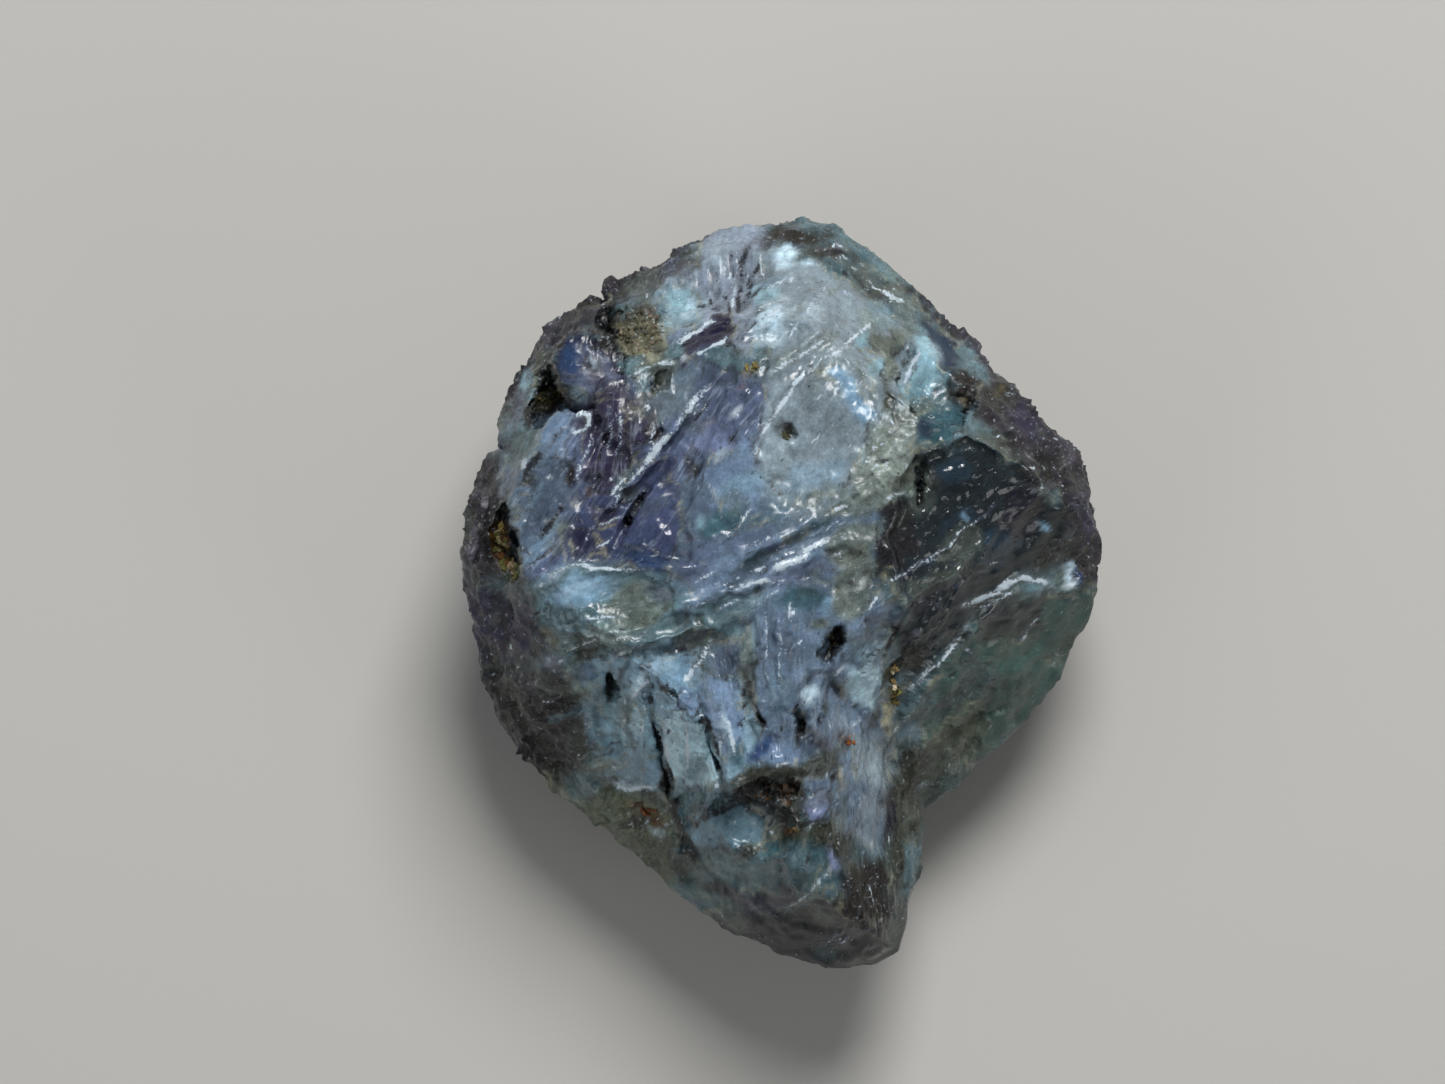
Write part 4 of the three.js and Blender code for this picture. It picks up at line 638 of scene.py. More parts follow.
    ("milk", 0.9, 0.05, 0.03, -67, -45, -75, -63, -83, -74, -94, -90),
    ("greyTeal", 0.6, 0.06, -0.03, -60, -50, -72, -75, -85, -92),
    ("glint", 0.6, 0.025, 0.02, -153, -102, -153.5, -120, -155.5, -134, -153, -149),
    ("lilacGlint", 0.5, 0.025, 0.02, -190, -119, -194, -144),
    ("glint", 0.5, 0.025, 0.02, -136, -112, -137, -130, -136, -150),
    ("brown", 1, 0.045, -0.1, -121, -131, -120, -151, -114.5, -167, -109, -183, -106, -202),
    ("brown", 1, 0.035, -0.1, -66, -136, -64.5, -154, -62, -167, -61, -180),
    ("cream", 0.6, 0.03, 0.02, -62, -128, -59, -153, -60, -176),
    ("glint", 0.7, 0.03, 0.03, -114, -130, -112, -134), ("glint", 0.6, 0.03, 0.03, -134, -100, -132, -101),
    ("glint", 0.6, 0.03, 0.03, -122, -98, -120, -99), ("glint", 0.6, 0.03, 0.02, -63, -189, -61, -193),
    ("glint", 0.6, 0.03, 0.02, -168, -175, -162, -177),
    ("lilacGlint", 0.5, 0.025, 0.02, -14, -15, -15, -50, -12, -90),
    ("lilacGlint", 0.5, 0.025, 0.02, -2, -20, 0, -55, -2, -95),
    ("lilacGlint", 0.5, 0.025, 0.02, 28, -40, 14, -54), ("ink", 0.4, 0.03, -0.02, 5, -30, 7, -70, 3, -110),
    ("glint", 0.7, 0.03, 0.03, 24, -107, 32, -102, 42, -100), ("glint", 0.6, 0.03, 0.03, 28, -127, 33, -129),
    ("glint", 0.7, 0.03, 0.02, 51, -81, 65, -71), ("glint", 0.7, 0.03, 0.02, 65, -137, 82, -124),
    ("lilacGlint", 0.5, 0.03, 0.02, 70, -95, 72, -115),
    ("oliveDark", 0.6, 0.04, -0.03, 50, -75, 46, -95, 44, -120),
    ("oliveDark", 0.5, 0.04, -0.03, 30, -80, 27, -100, 20, -115),
    ("black", 1, 0.045, -0.1, 119, -27, 112, -42, 104, -59),
    # Lower right
    ("lilacGlint", 0.7, 0.028, 0.03, 97, 4, 117, 14.5, 130, 26, 146, 33.5, 157, 40, 166, 44, 175, 57, 185,
        65, 200, 76, 215, 91), ("lilacGlint", 0.5, 0.025, 0.02, 130, 24, 145, 30, 162, 35),
    ("smokeBlue", 0.8, 0.04, 0.02, 160, 68, 172, 73, 190, 72),
    ("lilacGlint", 0.4, 0.025, 0.02, 200, 28, 215, 30, 222, 27),
    ("glint", 0.6, 0.025, 0.02, 195, 19, 200, 21), ("glint", 0.7, 0.03, 0.02, 231, 20, 234, 19),
    ("glint", 0.9, 0.045, 0.05, 173, -16, 193, -9, 204, -4, 213, -1, 218, 5, 226, 10, 239, 15, 250, 12, 257,
        13, 281, 1), ("lilacGlint", 0.6, 0.04, 0.03, 198, -16, 214.5, -8, 225, -1, 240, 3),
    ("glint", 0.7, 0.035, 0.04, 194, -17, 184, -34, 178, -46, 170, -57, 154, -72, 145, -77, 138, -88, 126,
        -97), ("glint", 0.7, 0.05, 0.03, 186, -30, 182, -39),
    ("lilacGlint", 0.5, 0.03, 0.02, 174, -53, 183, -55, 196, -65),
    ("glint", 0.5, 0.03, 0.03, 138, -105, 122, -128, 111, -144),
    ("lilacGlint", 0.7, 0.028, 0.03, 268, -14, 259, -25, 251, -34, 246, -47, 236, -52),
    ("lilacGlint", 0.4, 0.025, 0.02, 284, -14, 300, -6), ("rimPale", 0.7, 0.03, 0.02, 245, 124, 260, 126),
    ("rimPale", 0.6, 0.03, 0.02, 240, 115, 250, 110, 256, 105, 275, 105),
    ("glint", 0.7, 0.03, 0.02, 216, 157, 219, 155), ("glint", 0.5, 0.025, 0.02, 229, 164, 232, 163),
    ("cream", 0.6, 0.025, 0.02, 145, 138, 160, 142, 168, 145),
    ("glint", 0.4, 0.025, 0.02, 168, -150, 172, -145), ("glint", 0.4, 0.025, 0.02, 159, -139, 163, -136),
    ("lilacGlint", 0.4, 0.1, 0.02, 130, -200, 160, -192, 195, -165),
    # Foot
    ("glint", 0.8, 0.035, 0.03, -170, -191, -151, -197, -120, -191),
    ("ink", 0.8, 0.07, -0.03, -92, -243, -80, -227, -60, -217, -43, -212),
    ("greyTeal", 0.8, 0.045, 0.04, -96, -236, -82, -217, -68, -210, -50, -204),
    ("lilacGlint", 0.5, 0.03, 0.03, -95, -230, -82, -215, -66, -208),
    ("glint", 0.5, 0.03, 0.02, -40, -299, -34, -291), ("glint", 0.4, 0.03, 0.02, -44, -309, -41, -307),
    ("glint", 0.4, 0.025, 0.02, -17, -311, -35, -319),
    ("glint", 0.6, 0.03, 0.02, 19, -237, 27, -234.5, 34, -226),
    ("glint", 0.7, 0.03, 0.02, 31, -293, 42, -280, 52, -272),
    ("glint", 0.6, 0.025, 0.02, 33, -292, 17.5, -307, 4, -318),
    ("lilacGlint", 0.5, 0.025, 0.02, 27, -305, 15, -314),
    ("lilacGlint", 0.5, 0.03, 0.02, 46, -353, 59, -338),
    ("lilacGlint", 0.5, 0.025, 0.02, 59, -351, 69, -344), ("cream", 0.5, 0.03, 0.02, -148, -249, -146, -251),
    ("glint", 0.6, 0.03, 0.02, -136, -232, -132, -234),
]

# Groups of fine strokes drawn at random: kind, strength, width, height, how many, length, x, y, half sizes
# along and across and turn of the group, direction of the strokes and how far it strays
# The glint, lilacGlint and rimPale groups are painted glints of light
strokeGroups = [
    ("lilacGlint", 0.4, 0.025, 0.03, 22, 0.25, -1.95, 0.95, 0.95, 0.5, 50, 58, 9),
    ("ink", 0.5, 0.03, -0.04, 24, 0.25, -1.9, 0.95, 0.95, 0.5, 50, 58, 9),
    ("ink", 0.5, 0.03, -0.05, 10, 0.3, -1.6, 1.5, 0.35, 0.28, 100, 85, 12),
    ("lilacGlint", 0.35, 0.025, 0.03, 8, 0.25, -0.7, 1.6, 0.5, 0.25, 50, 50, 8),
    ("lilacGlint", 0.5, 0.022, 0.03, 14, 0.2, -0.7, 3.1, 0.45, 0.25, 20, 60, 30),
    ("ink", 0.5, 0.025, -0.04, 14, 0.14, -0.75, 3.05, 0.45, 0.25, 20, 60, 45),
    ("glint", 0.3, 0.025, 0.02, 12, 0.35, 0.3, 2.7, 0.6, 0.45, 60, 50, 10),
    ("olive", 0.4, 0.04, -0.02, 8, 0.35, 0.4, 2.6, 0.6, 0.4, 60, 50, 10),
    ("glint", 0.5, 0.022, 0.02, 22, 0.06, 1.08, 1.4, 0.22, 0.35, 0, 20, 40),
    ("brown", 0.5, 0.025, -0.03, 14, 0.09, 1.1, 1.35, 0.25, 0.4, 0, 15, 30),
    ("glint", 0.4, 0.022, 0.02, 12, 0.08, 1.3, 2.15, 0.35, 0.1, 65, 60, 30),
    ("lilacGlint", 0.5, 0.025, 0.03, 26, 0.22, -0.1, 0.25, 0.85, 0.24, 25, 27, 9),
    ("ink", 0.5, 0.03, -0.03, 18, 0.2, 0, 0.3, 0.8, 0.24, 25, 26, 9),
    ("lilacGlint", 0.3, 0.025, 0.02, 10, 0.25, -1.6, -0.3, 0.8, 0.25, 5, 18, 12),
    ("lilacGlint", 0.35, 0.022, 0.02, 10, 0.3, 0, -0.6, 0.15, 0.4, 0, 90, 7),
    ("olive", 0.4, 0.03, -0.03, 12, 0.2, 0.4, -1.2, 0.35, 0.6, 0, 82, 20),
    ("lilacGlint", 0.3, 0.022, 0.02, 12, 0.14, 1.55, 0.05, 0.45, 0.2, 20, 25, 25),
    ("rimPale", 0.5, 0.025, 0.02, 40, 0.05, 2.55, 1.5, 1, 0.25, 125, 120, 50),
    ("rimPale", 0.5, 0.025, 0.02, 40, 0.05, -2.6, -0.6, 0.4, 0.6, 20, 40, 60),
    ("rimPale", 0.35, 0.022, 0.02, 24, 0.05, -2.35, -1.4, 0.45, 0.5, 20, 40, 60),
    ("glint", 0.4, 0.022, 0.02, 14, 0.06, 0.3, -1.25, 0.3, 0.3, 0, 20, 50),
    ("olive", 0.4, 0.03, 0.02, 16, 0.07, 1.3, -2, 0.25, 0.6, 160, 70, 40),
    ("tan", 0.5, 0.025, 0.02, 16, 0.06, -1.3, -2.3, 0.4, 0.25, 150, 30, 60),
    ("rimPale", 0.5, 0.022, 0.02, 14, 0.05, 0.85, -3, 0.25, 0.3, 0, 40, 60),
    ("rimPale", 0.4, 0.022, 0.02, 16, 0.05, -0.2, 3.5, 0.8, 0.1, 5, 20, 60),
    ("brown", 0.8, 0.035, -0.04, 30, 0.12, -0.6, -1.35, 1.2, 0.55, 0, 85, 12),
    ("black", 0.8, 0.03, -0.03, 46, 0.09, 0.1, -2.45, 0.95, 0.5, 0, 45, 50),
    ("glint", 0.6, 0.022, 0.02, 46, 0.06, 0.2, -2.3, 0.95, 0.55, 0, 45, 50),
    ("brown", 0.7, 0.03, -0.03, 26, 0.1, 0.95, 0.2, 0.2, 1.3, 0, 40, 40),
    ("glint", 0.5, 0.022, 0.02, 26, 0.06, 0.95, 0.4, 0.2, 1.3, 0, 30, 40),
    ("black", 0.7, 0.03, -0.03, 24, 0.12, 0.75, 3.15, 0.55, 0.14, 155, 150, 20),
    ("cream", 0.6, 0.025, 0.02, 24, 0.12, 0.75, 3.15, 0.55, 0.14, 155, 150, 20),
]

# Which way the growth lines run: x, y, half sizes and turn of the zone, direction of the lines
grainZones = [
    (-1.6, 1.1, 1.4, 1.0, 50, 57), (-1.6, 1.5, 0.5, 0.35, 110, 84), (-0.8, 3.1, 0.6, 0.4, 10, 75),
    (0.4, 2.6, 0.9, 0.8, 50, 50), (1.3, 2.2, 0.6, 0.4, 110, 70), (0.2, 0.4, 1.4, 0.5, 25, 26),
    (-1.7, -0.2, 0.9, 0.45, 5, 14), (-1.0, -1.3, 1.1, 0.85, 0, 98), (0.4, -0.9, 0.8, 1.1, 0, 88),
    (2.0, 0.6, 0.9, 0.8, 20, 28), (2.1, -0.9, 1.3, 0.7, 45, 48), (0.0, -2.9, 1.3, 0.8, 10, 60),
]


# Value noise from -1 to 1: random numbers at the corners of unit cells, blended by 3s^2 - 2s^3 on each axis
def noise(points, size, seed):
    table = np.random.default_rng(seed).random((24, 24, 24))
    cell = points / size
    low = np.floor(cell).astype(int)
    share = cell - low
    share = share * share * (3 - 2 * share)
    total = np.zeros(len(points))
    for corner in np.ndindex(2, 2, 2):
        weight = np.prod(np.where(corner, share, 1 - share), axis=1)
        total += weight * table[tuple(((low + corner) % 24).T)]
    return total * 2 - 1


# Fractal noise: octaves of half the size and about half the height are added
def fractal(points, size, seed, octaves=4, keep=0.55):
    return sum(keep**k * noise(points, size / 2**k, seed + k) for k in range(octaves))


# How far places stray along each axis: fractal noise of a size, times a distance
def strayOf(points, size, far, seed, octaves=4, axes=2):
    return np.stack([fractal(points, size, seed + k, octaves) for k in range(axes)], axis=1) * far


# Cells round scattered seeds: the distances to the nearest two seeds and a random number for the nearest one
def cells(points, size, seed):
    random = np.random.default_rng(seed)
    jitter = random.random((16, 16, 16, 3))
    marks = random.random((16, 16, 16))
    cell = points / size
    low = np.floor(cell).astype(int)
    first = np.full(len(points), np.inf)
    second = np.full(len(points), np.inf)
    mark = np.zeros(len(points))
    for step in np.ndindex(3, 3, 3):
        corner = low + step - 1
        index = tuple((corner % 16).T)
        apart = np.linalg.norm(cell - corner - jitter[index], axis=1)
        second = np.where(apart < first, first, np.minimum(second, apart))
        mark = np.where(apart < first, marks[index], mark)
        first = np.minimum(first, apart)
    return first * size, second * size, mark


# Distance to a line through points (x and y of each in turn), and how far along it from 0 to 1 the nearest
# place is
def lineDistance(x, y, line):
    line = np.reshape(line, (-1, 2)).astype(float)
    lengths = np.hypot(*(line[1:] - line[:-1]).T)
    before = np.concatenate([[0], np.cumsum(lengths)])
    nearest = np.full(len(x), np.inf)
    along = np.zeros(len(x))
    for (ax, ay), (bx, by), length, start in zip(line[:-1], line[1:], lengths, before):
        share = np.clip(((x - ax) * (bx - ax) + (y - ay) * (by - ay)) / length**2, 0, 1)
        apart = np.hypot(x - ax - share * (bx - ax), y - ay - share * (by - ay))
        along = np.where(apart < nearest, (start + share * length) / before[-1], along)
        nearest = np.minimum(nearest, apart)
    return nearest, along


# How far inside an outline a point is, negative outside. The sign is from how often a line to the right of
# the point crosses the outline.
def insideOutline(x, y, outline):
    closed = np.reshape([*outline, *outline[:2]], (-1, 2))
    nearest, _ = lineDistance(x, y, closed)
    inside = np.zeros(len(x), bool)
    for (ax, ay), (bx, by) in zip(closed[:-1], closed[1:]):
        if ay != by:
            inside ^= ((ay > y) != (by > y)) & (x < ax + (bx - ax) * (y - ay) / (by - ay))
    return np.where(inside, nearest, -nearest)


# An angle's cosine and sine
def cosSin(degrees):
    return math.cos(math.radians(degrees)), math.sin(math.radians(degrees))


# Distance from an ellipse's middle as a share of its half sizes, (|u|^p + |v|^p)^(1/p): 1 on its edge. A
# power p below 2 points its ends.
def ellipseShare(x, y, middleX, middleY, along, across, turn, power=2):
    c, s = cosSin(turn)
    u = ((x - middleX) * c + (y - middleY) * s) / along
    v = (-(x - middleX) * s + (y - middleY) * c) / across
    return (np.abs(u) ** power + np.abs(v) ** power) ** (1 / power)


# A random place in an ellipse, spread evenly by the square root of a random share of its half sizes
def placeIn(random, x, y, along, across, turn):
    radius, bearing = math.sqrt(random.random()), random.random() * 2 * math.pi
    u, v = along * radius * math.cos(bearing), across * radius * math.sin(bearing)
    c, s = cosSin(turn)
    return x + u * c - v * s, y + u * s + v * c


# 0 below low, 1 above high and 3s^2 - 2s^3 in between
def smoothStep(low, high, value):
    share = np.clip((value - low) / (high - low), 0, 1)
    return share * share * (3 - 2 * share)


# The plane n . p = d of a face that falls from its point by a dip, and whose solid is below it (way 1) or
# above
def facePlane(x, y, z, falls, dip, way=1):
    slope = math.tan(math.radians(dip))
    c, s = cosSin(falls)
    n = (slope * c, slope * s, way)
    return (*n, n[0] * x + n[1] * y + way * z)


# The two planes of each side: inward of the side's line, the upper one rises from it and the lower one falls
def sidePlanes(sides):
    planes = []
    for (x, y, z, up, under), (nextX, nextY, nextZ, _, _) in zip(sides, sides[1:] + sides[:1]):
        run = math.hypot(nextX - x, nextY - y)
        tx, ty, rise = (nextX - x) / run, (nextY - y) / run, (nextZ - z) / run
        for angle, way in ((up, 1), (under, -1)):
            slope = math.tan(math.radians(angle))
            n = (-way * rise * tx - slope * ty, -way * rise * ty + slope * tx, way)
            planes.append((*n, n[0] * x + n[1] * y + way * z))
    return planes


# How far rays from the middle go before they leave a block of planes: the least (d - n . middle) / (n . ray)
def planeReach(rays, planes):
    planes = np.array(planes)
    away = rays @ planes[:, :3].T
    room = planes[:, 3] - planes[:, :3] @ shape["middle"]
    with np.errstate(divide="ignore", invalid="ignore"):
        return np.where(away > 1e-9, room / away, np.inf).min(axis=1)


# Where rays from the middle enter and leave an ellipsoid: the roots of |q + r v|^2 = 1 in its own axes
def ellipsoidReach(rays, centre, sizes, turn):
    c, s = cosSin(turn)
    axes = np.array([[c, s, 0], [-s, c, 0], [0, 0, 1]]) / np.array(sizes)[:, None]
    q = axes @ (np.array(shape["middle"]) - centre)
    v = rays @ axes.T
    a, b = (v * v).sum(axis=1), v @ q
    inner = b * b - a * (q @ q - 1)
    root = np.sqrt(np.maximum(inner, 0))
    missed = inner <= 0
    return np.where(missed, np.inf, (-b - root) / a), np.where(missed, -np.inf, (-b + root) / a)


# The planes of a block's faces, from their depths under the top
def blockFaces(faces):
    return [facePlane(x, y, top - depth, falls, dip) for x, y, depth, falls, dip in faces.values()]


crownPlanes = sidePlanes(shape["crownSides"]) + blockFaces(shape["crownFaces"])
footPlanes = sidePlanes(shape["footSides"]) + blockFaces(shape["footFaces"])
outerPlanes = [facePlane(x, y, 0, falls, dip, -1) for x, y, falls, dip in shape["underFaces"]]
outerPlanes += [(0, 0, -1, 0), (0, 0, 1, top)]


# The height of the unbroken front over (x, y): the higher block's lowest plane there
def frontHeight(x, y):
    def lowest(planes):
        return min((d - nx * x - ny * y) / nz for nx, ny, nz, d in planes if nz > 0)
    return min(top, max(lowest(crownPlanes), lowest(footPlanes)))


# How far rays from the middle reach: the union of the two blocks, less the scars and notches of its sides
def skinReach(rays):
    reach = np.maximum(planeReach(rays, crownPlanes), planeReach(rays, footPlanes))
    reach = np.minimum(reach, planeReach(rays, outerPlanes))
    for x, y, z, along, into, upright, facing in shape["scars"]:
        enter, leave = ellipsoidReach(rays, (x, y, z), (along, into, upright), facing - 90)
        reach = np.where((enter < reach) & (leave > reach * shape["scarLeave"]), enter, reach)
    middle = np.array(shape["middle"][:2])
    for x, y, halfAngle, facing in shape["notches"]:
        enter = 0
        for way in (1, -1):
            angle = math.radians(facing - way * halfAngle)
            wall = way * np.array([-math.sin(angle), math.cos(angle)])
            towards = rays[:, :2] @ wall
            short = (np.array([x, y]) - middle) @ wall
            with np.errstate(divide="ignore", invalid="ignore"):
                enter = np.maximum(enter, np.where(towards > 1e-9, short / towards, np.inf))
        reach = np.minimum(reach, enter)
    return reach


# How high an ellipsoid's skin stands over its middle at (x, y): upright half size times sqrt(1 - share^2)
def domeHeight(x, y, ellipse, upright, power=2):
    share = ellipseShare(x, y, *ellipse, power)
    return np.where(share < 1, upright * np.sqrt(np.maximum(1 - share**2, 0)), np.nan)


carving = {
    "wander": (0.3, 0.035),  # size of the noise that bends the edges, and how far it moves them
    "ragged": (0.14, 0.045),  # the same for the edges of the pits
    "stepWidth": 0.09,  # slope at the edge of a broken layer
    "capShare": 0.3,  # a scoop is this share of its ellipsoid's upright half size deep
    "pitPower": 1.5,  # below 2 the ends of the pits are pointed
    "lumpRise": 0.6,  # upright half size of a lump as a share of the one across
    "heights": (1.5, 1.8),  # the carving sets in between these
}


# The front after layers broke away, scoops and pits were cut and hillocks grew, all straight up or down, and
# how deep the pits are at each point
def carveFront(points):
    wander = strayOf(points, *carving["wander"], 3, 5)
    x, y = points[:, 0] + wander[:, 0], points[:, 1] + wander[:, 1]
    z = points[:, 2].copy()
    for face, depth, *outline in shape["setbacks"]:
        faceX, faceY, faceDepth, falls, dip = shape["crownFaces"][face]
        nx, ny, nz, d = facePlane(faceX, faceY, top - faceDepth - depth, falls, dip)
        lowered = d - nx * points[:, 0] - ny * points[:, 1]
        cut = smoothStep(0, carving["stepWidth"], insideOutline(x, y, outline))
        z += cut * (np.minimum(z, lowered) - z)
    capShare = carving["capShare"]
    widen = 1 / math.sqrt(1 - (1 - capShare) ** 2)
    for middleX, middleY, along, across, turn, depth in shape["scoops"]:
        upright = depth / capShare
        bowl = domeHeight(x, y, (middleX, middleY, along * widen, across * widen, turn), upright)
        z = np.fmin(z, frontHeight(middleX, middleY) - depth + upright - bowl)
    before = z.copy()
    ragged = strayOf(points, *carving["ragged"], 5, 3)
    for *ellipse, depth in shape["pits"]:
        bowl = domeHeight(x + ragged[:, 0], y + ragged[:, 1], ellipse, depth, carving["pitPower"])
        z = np.fmin(z, frontHeight(*ellipse[:2]) - bowl)
    for *ellipse, high in shape["lumps"]:
        upright = ellipse[3] * carving["lumpRise"]
        dome = domeHeight(points[:, 0], points[:, 1], ellipse, upright)
        z = np.fmax(z, frontHeight(*ellipse[:2]) + high - upright + dome)
    onFront = smoothStep(*carving["heights"], points[:, 2])
    pitted = before - z
    for width, high, *line in shape["lines"]:
        z = z + high * np.sqrt(onFront) * strokeWeight(x, y, width / 2, line)
    return points + np.stack([0 * z, 0 * z, (z - points[:, 2]) * onFront], axis=1), pitted * onFront


# Directions to a grid of points. The square grid is turned into a disc by the concentric map, its radius
# into an angle from the axis, and the result is squashed to the crystal's rough half sizes.
def discRays(count, angleOf, way):
    side = np.linspace(-1, 1, count + 1)
    a, b = np.meshgrid(side, side, indexing="ij")
    isWide = np.abs(a) > np.abs(b)
    with np.errstate(divide="ignore", invalid="ignore"):
        radius = np.where(isWide, a, b)
        turn = np.where(isWide, math.pi / 4 * b / a, math.pi / 2 - math.pi / 4 * a / b)
    turn = np.where(radius == 0, 0, turn)
    polar = angleOf(np.abs(radius))
    signed = np.sign(radius)
    rays = np.stack([signed * np.sin(polar) * np.cos(turn), signed * np.sin(polar) * np.sin(turn),
                     way * np.cos(polar)], axis=-1)
    return (rays * shape["reach"]).reshape(-1, 3)


# The front's angle runs as atan(k radius) over the front and then evenly down to the rim, the back's evenly
def frontAngleOf(radius):
    share = shape["frontShare"]
    flat, rim = math.radians(shape["frontAngle"]), math.radians(shape["rimAngle"])
    onFront = np.arctan(math.tan(flat) * radius / share)
    return np.where(radius < share, onFront, flat + (rim - flat) * (radius - share) / (1 - share))


# The back's angle from straight down, which runs evenly from 0 to the rim
def backAngleOf(radius):
    return (math.pi - math.radians(shape["rimAngle"])) * radius


# The corner numbers of a grid's cells, in order round each cell
def gridQuads(count):
    i, j = np.meshgrid(np.arange(count), np.arange(count), indexing="ij")
    start = (i * (count + 1) + j).ravel()
    return np.stack([start, start + count + 1, start + count + 2, start + 1], axis=1)


# The front grid and the coarser back grid, joined at the rim, where each edge of a back cell takes in the
# front's corner at its middle. Returns the rays, the faces' corner numbers in one row and how many each has.
def closedGrid():
    n, m = shape["frontCells"], shape["backCells"]
    frontRays = discRays(n, frontAngleOf, 1)
    backRays = discRays(m, backAngleOf, -1)
    i, j = np.divmod(np.arange((m + 1) ** 2), m + 1)
    onRim = (i == 0) | (i == m) | (j == 0) | (j == m)
    number = (i * (n + 1) + j) * (n // m)
    number[~onRim] = len(frontRays) + np.arange((~onRim).sum())
    back = number[gridQuads(m)[:, ::-1]]
    follower = np.roll(back, -1, axis=1)
    rimEdge = onRim[gridQuads(m)[:, ::-1]]
    rimEdge &= np.roll(rimEdge, -1, axis=1)
    between = np.where(rimEdge, (back + follower) // 2, -1)
    backCorners = np.stack([back, between], axis=2).reshape(len(back), 8)
    front = gridQuads(n)
    corners = np.concatenate([front.ravel(), backCorners[backCorners >= 0]])
    sizes = np.concatenate([np.full(len(front), 4), (backCorners >= 0).sum(axis=1)])
    rays = np.concatenate([frontRays, backRays[~onRim]])
    return rays / np.linalg.norm(rays, axis=1)[:, None], corners, sizes


# A mesh in metres from corner places in millimetres, flat corner numbers and the corners of each face
def makeMesh(name, points, corners, sizes):
    mesh = bpy.data.meshes.new(name)
    mesh.vertices.add(len(points))
    mesh.vertices.foreach_set("co", (points / metre).astype(np.float32).ravel())
    mesh.loops.add(len(corners))
    mesh.loops.foreach_set("vertex_index", corners.astype(np.int32))
    mesh.polygons.add(len(sizes))
    mesh.polygons.foreach_set("loop_start", (np.cumsum(sizes) - sizes).astype(np.int32))
    mesh.update(calc_edges=True)
    mesh.validate()
    mesh.shade_smooth()
    return mesh


# A new object in the scene
def addItem(name, data):
    item = bpy.data.objects.new(name, data)
    bpy.context.scene.collection.objects.link(item)
    return item


# A piece that rides on the crystal's body
def addPiece(name, mesh):
    piece = addItem(name, mesh)
    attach(piece, "root")
    return piece


# An sRGB hex colour as linear red, green and blue
def linear(hexColour):
    parts = np.array([int(hexColour[i:i + 2], 16) for i in (0, 2, 4)]) / 255
    return np.where(parts <= 0.04045, parts / 12.92, ((parts + 0.055) / 1.055) ** 2.4)


# A zone kind as one row: linear colour, clarity, frost, chips and ribs
def kindRow(kind):
    hexColour, *shares = zoneKinds[kind]
    return np.array([*linear(hexColour), *shares])


# Rows of colour and finish, blended towards a kind by a weight from 0 to 1
def layOn(rows, kind, weight):
    return rows + weight[:, None] * (kindRow(kind) - rows)


paint = {
    "grounds": ("greyTeal", "steel"),  # under the front's zones and under the back's
    "wander": (0.4, 0.06),  # size of the noise that bends the edges, and how far it moves them
    "shake": (0.07, 0.022),  # finer noise, the same way
    "fray": (0.16, 0.05, 0.15),  # size of the fraying, its depth on areas, and as a patch's share
    "patchSoft": (0.045, 0.6),  # softness of a patch's edge, and its largest share of a half size
    "seamWidth": 0.016,
    "seamSize": 0.22,  # of the noise that picks pale, dark or no seams
    "paleSeam": ("cream", 0.55),
    "darkSeam": ("brown", 0.75),
    "backHeights": (1.6, 0.7),  # the front's zones give way to the back's between these
    "cloudEdge": 0.25,  # rise of the noise over a cloud's edge
    # Cloudy zones of the back: kind, size, level of the noise above which they show
    "clouds": [
        ("rimViolet", 1.2, 0.1), ("teal", 1.4, 0.2), ("oliveDark", 0.9, 0.35), ("paleBlue", 1.3, 0.35),
        ("milkyBlue", 0.7, 0.55), ("rimDark", 0.8, 0.3), ("tan", 0.35, 0.85), ("indigo", 1.1, 0.45),
    ],
}


# The zones over the points: broad areas, then patches. Their edges wander by noise, and along some of the
# areas' edges runs a thin pale or dark seam, the bell curve exp(-(distance / width)^2) of the distance from
# the edge. Below the widest line they give way to clouds, where noise in space passes a level.
def paintZones(points):
    wander = strayOf(points, *paint["wander"], 11) + strayOf(points, *paint["shake"], 15, 1)
    x, y = points[:, 0] + wander[:, 0], points[:, 1] + wander[:, 1]
    fraySize, areaFray, patchFray = paint["fray"]
    fray = fractal(points, fraySize, 17)
    frontGround, backGround = paint["grounds"]
    front = np.tile(kindRow(frontGround), (len(points), 1))
    seams = np.zeros(len(points))
    for kind, soft, *outline in areas:
        inside = insideOutline(x, y, np.array(outline) / hundredths) + areaFray * fray
        share = smoothStep(-soft, soft, inside)
        front = layOn(front, kind, share)
        seams = np.maximum(seams * (1 - share), np.exp(-(inside / paint["seamWidth"]) ** 2))
    mood = noise(points, paint["seamSize"], 18)
    for (kind, strength), way in ((paint["paleSeam"], 1), (paint["darkSeam"], -1)):
        front = layOn(front, kind, strength * seams * smoothStep(0.02, 0.35, way * mood))
    softness, softest = paint["patchSoft"]
    for kind, strength, *ellipse, turn in patches:
        ellipse = [value / hundredths for value in ellipse]
        share = ellipseShare(x, y, *ellipse, turn) + patchFray * fray
        soft = min(softness / min(ellipse[2:]), softest)
        front = layOn(front, kind, strength * smoothStep(1 + soft, 1 - soft, share))
    back = np.tile(kindRow(backGround), (len(points), 1))
    for number, (kind, size, level) in enumerate(paint["clouds"]):
        cloud = fractal(points, size, 30 + 7 * number)
        back = layOn(back, kind, smoothStep(level, level + paint["cloudEdge"], cloud))
    return front + smoothStep(*paint["backHeights"], points[:, 2])[:, None] * (back - front)


growth = {
    "turn": 50.0,  # direction of the growth lines outside the zones
    "wander": (0.5, 0.08),  # size of the noise that bends the zones' edges, and how far it moves them
}


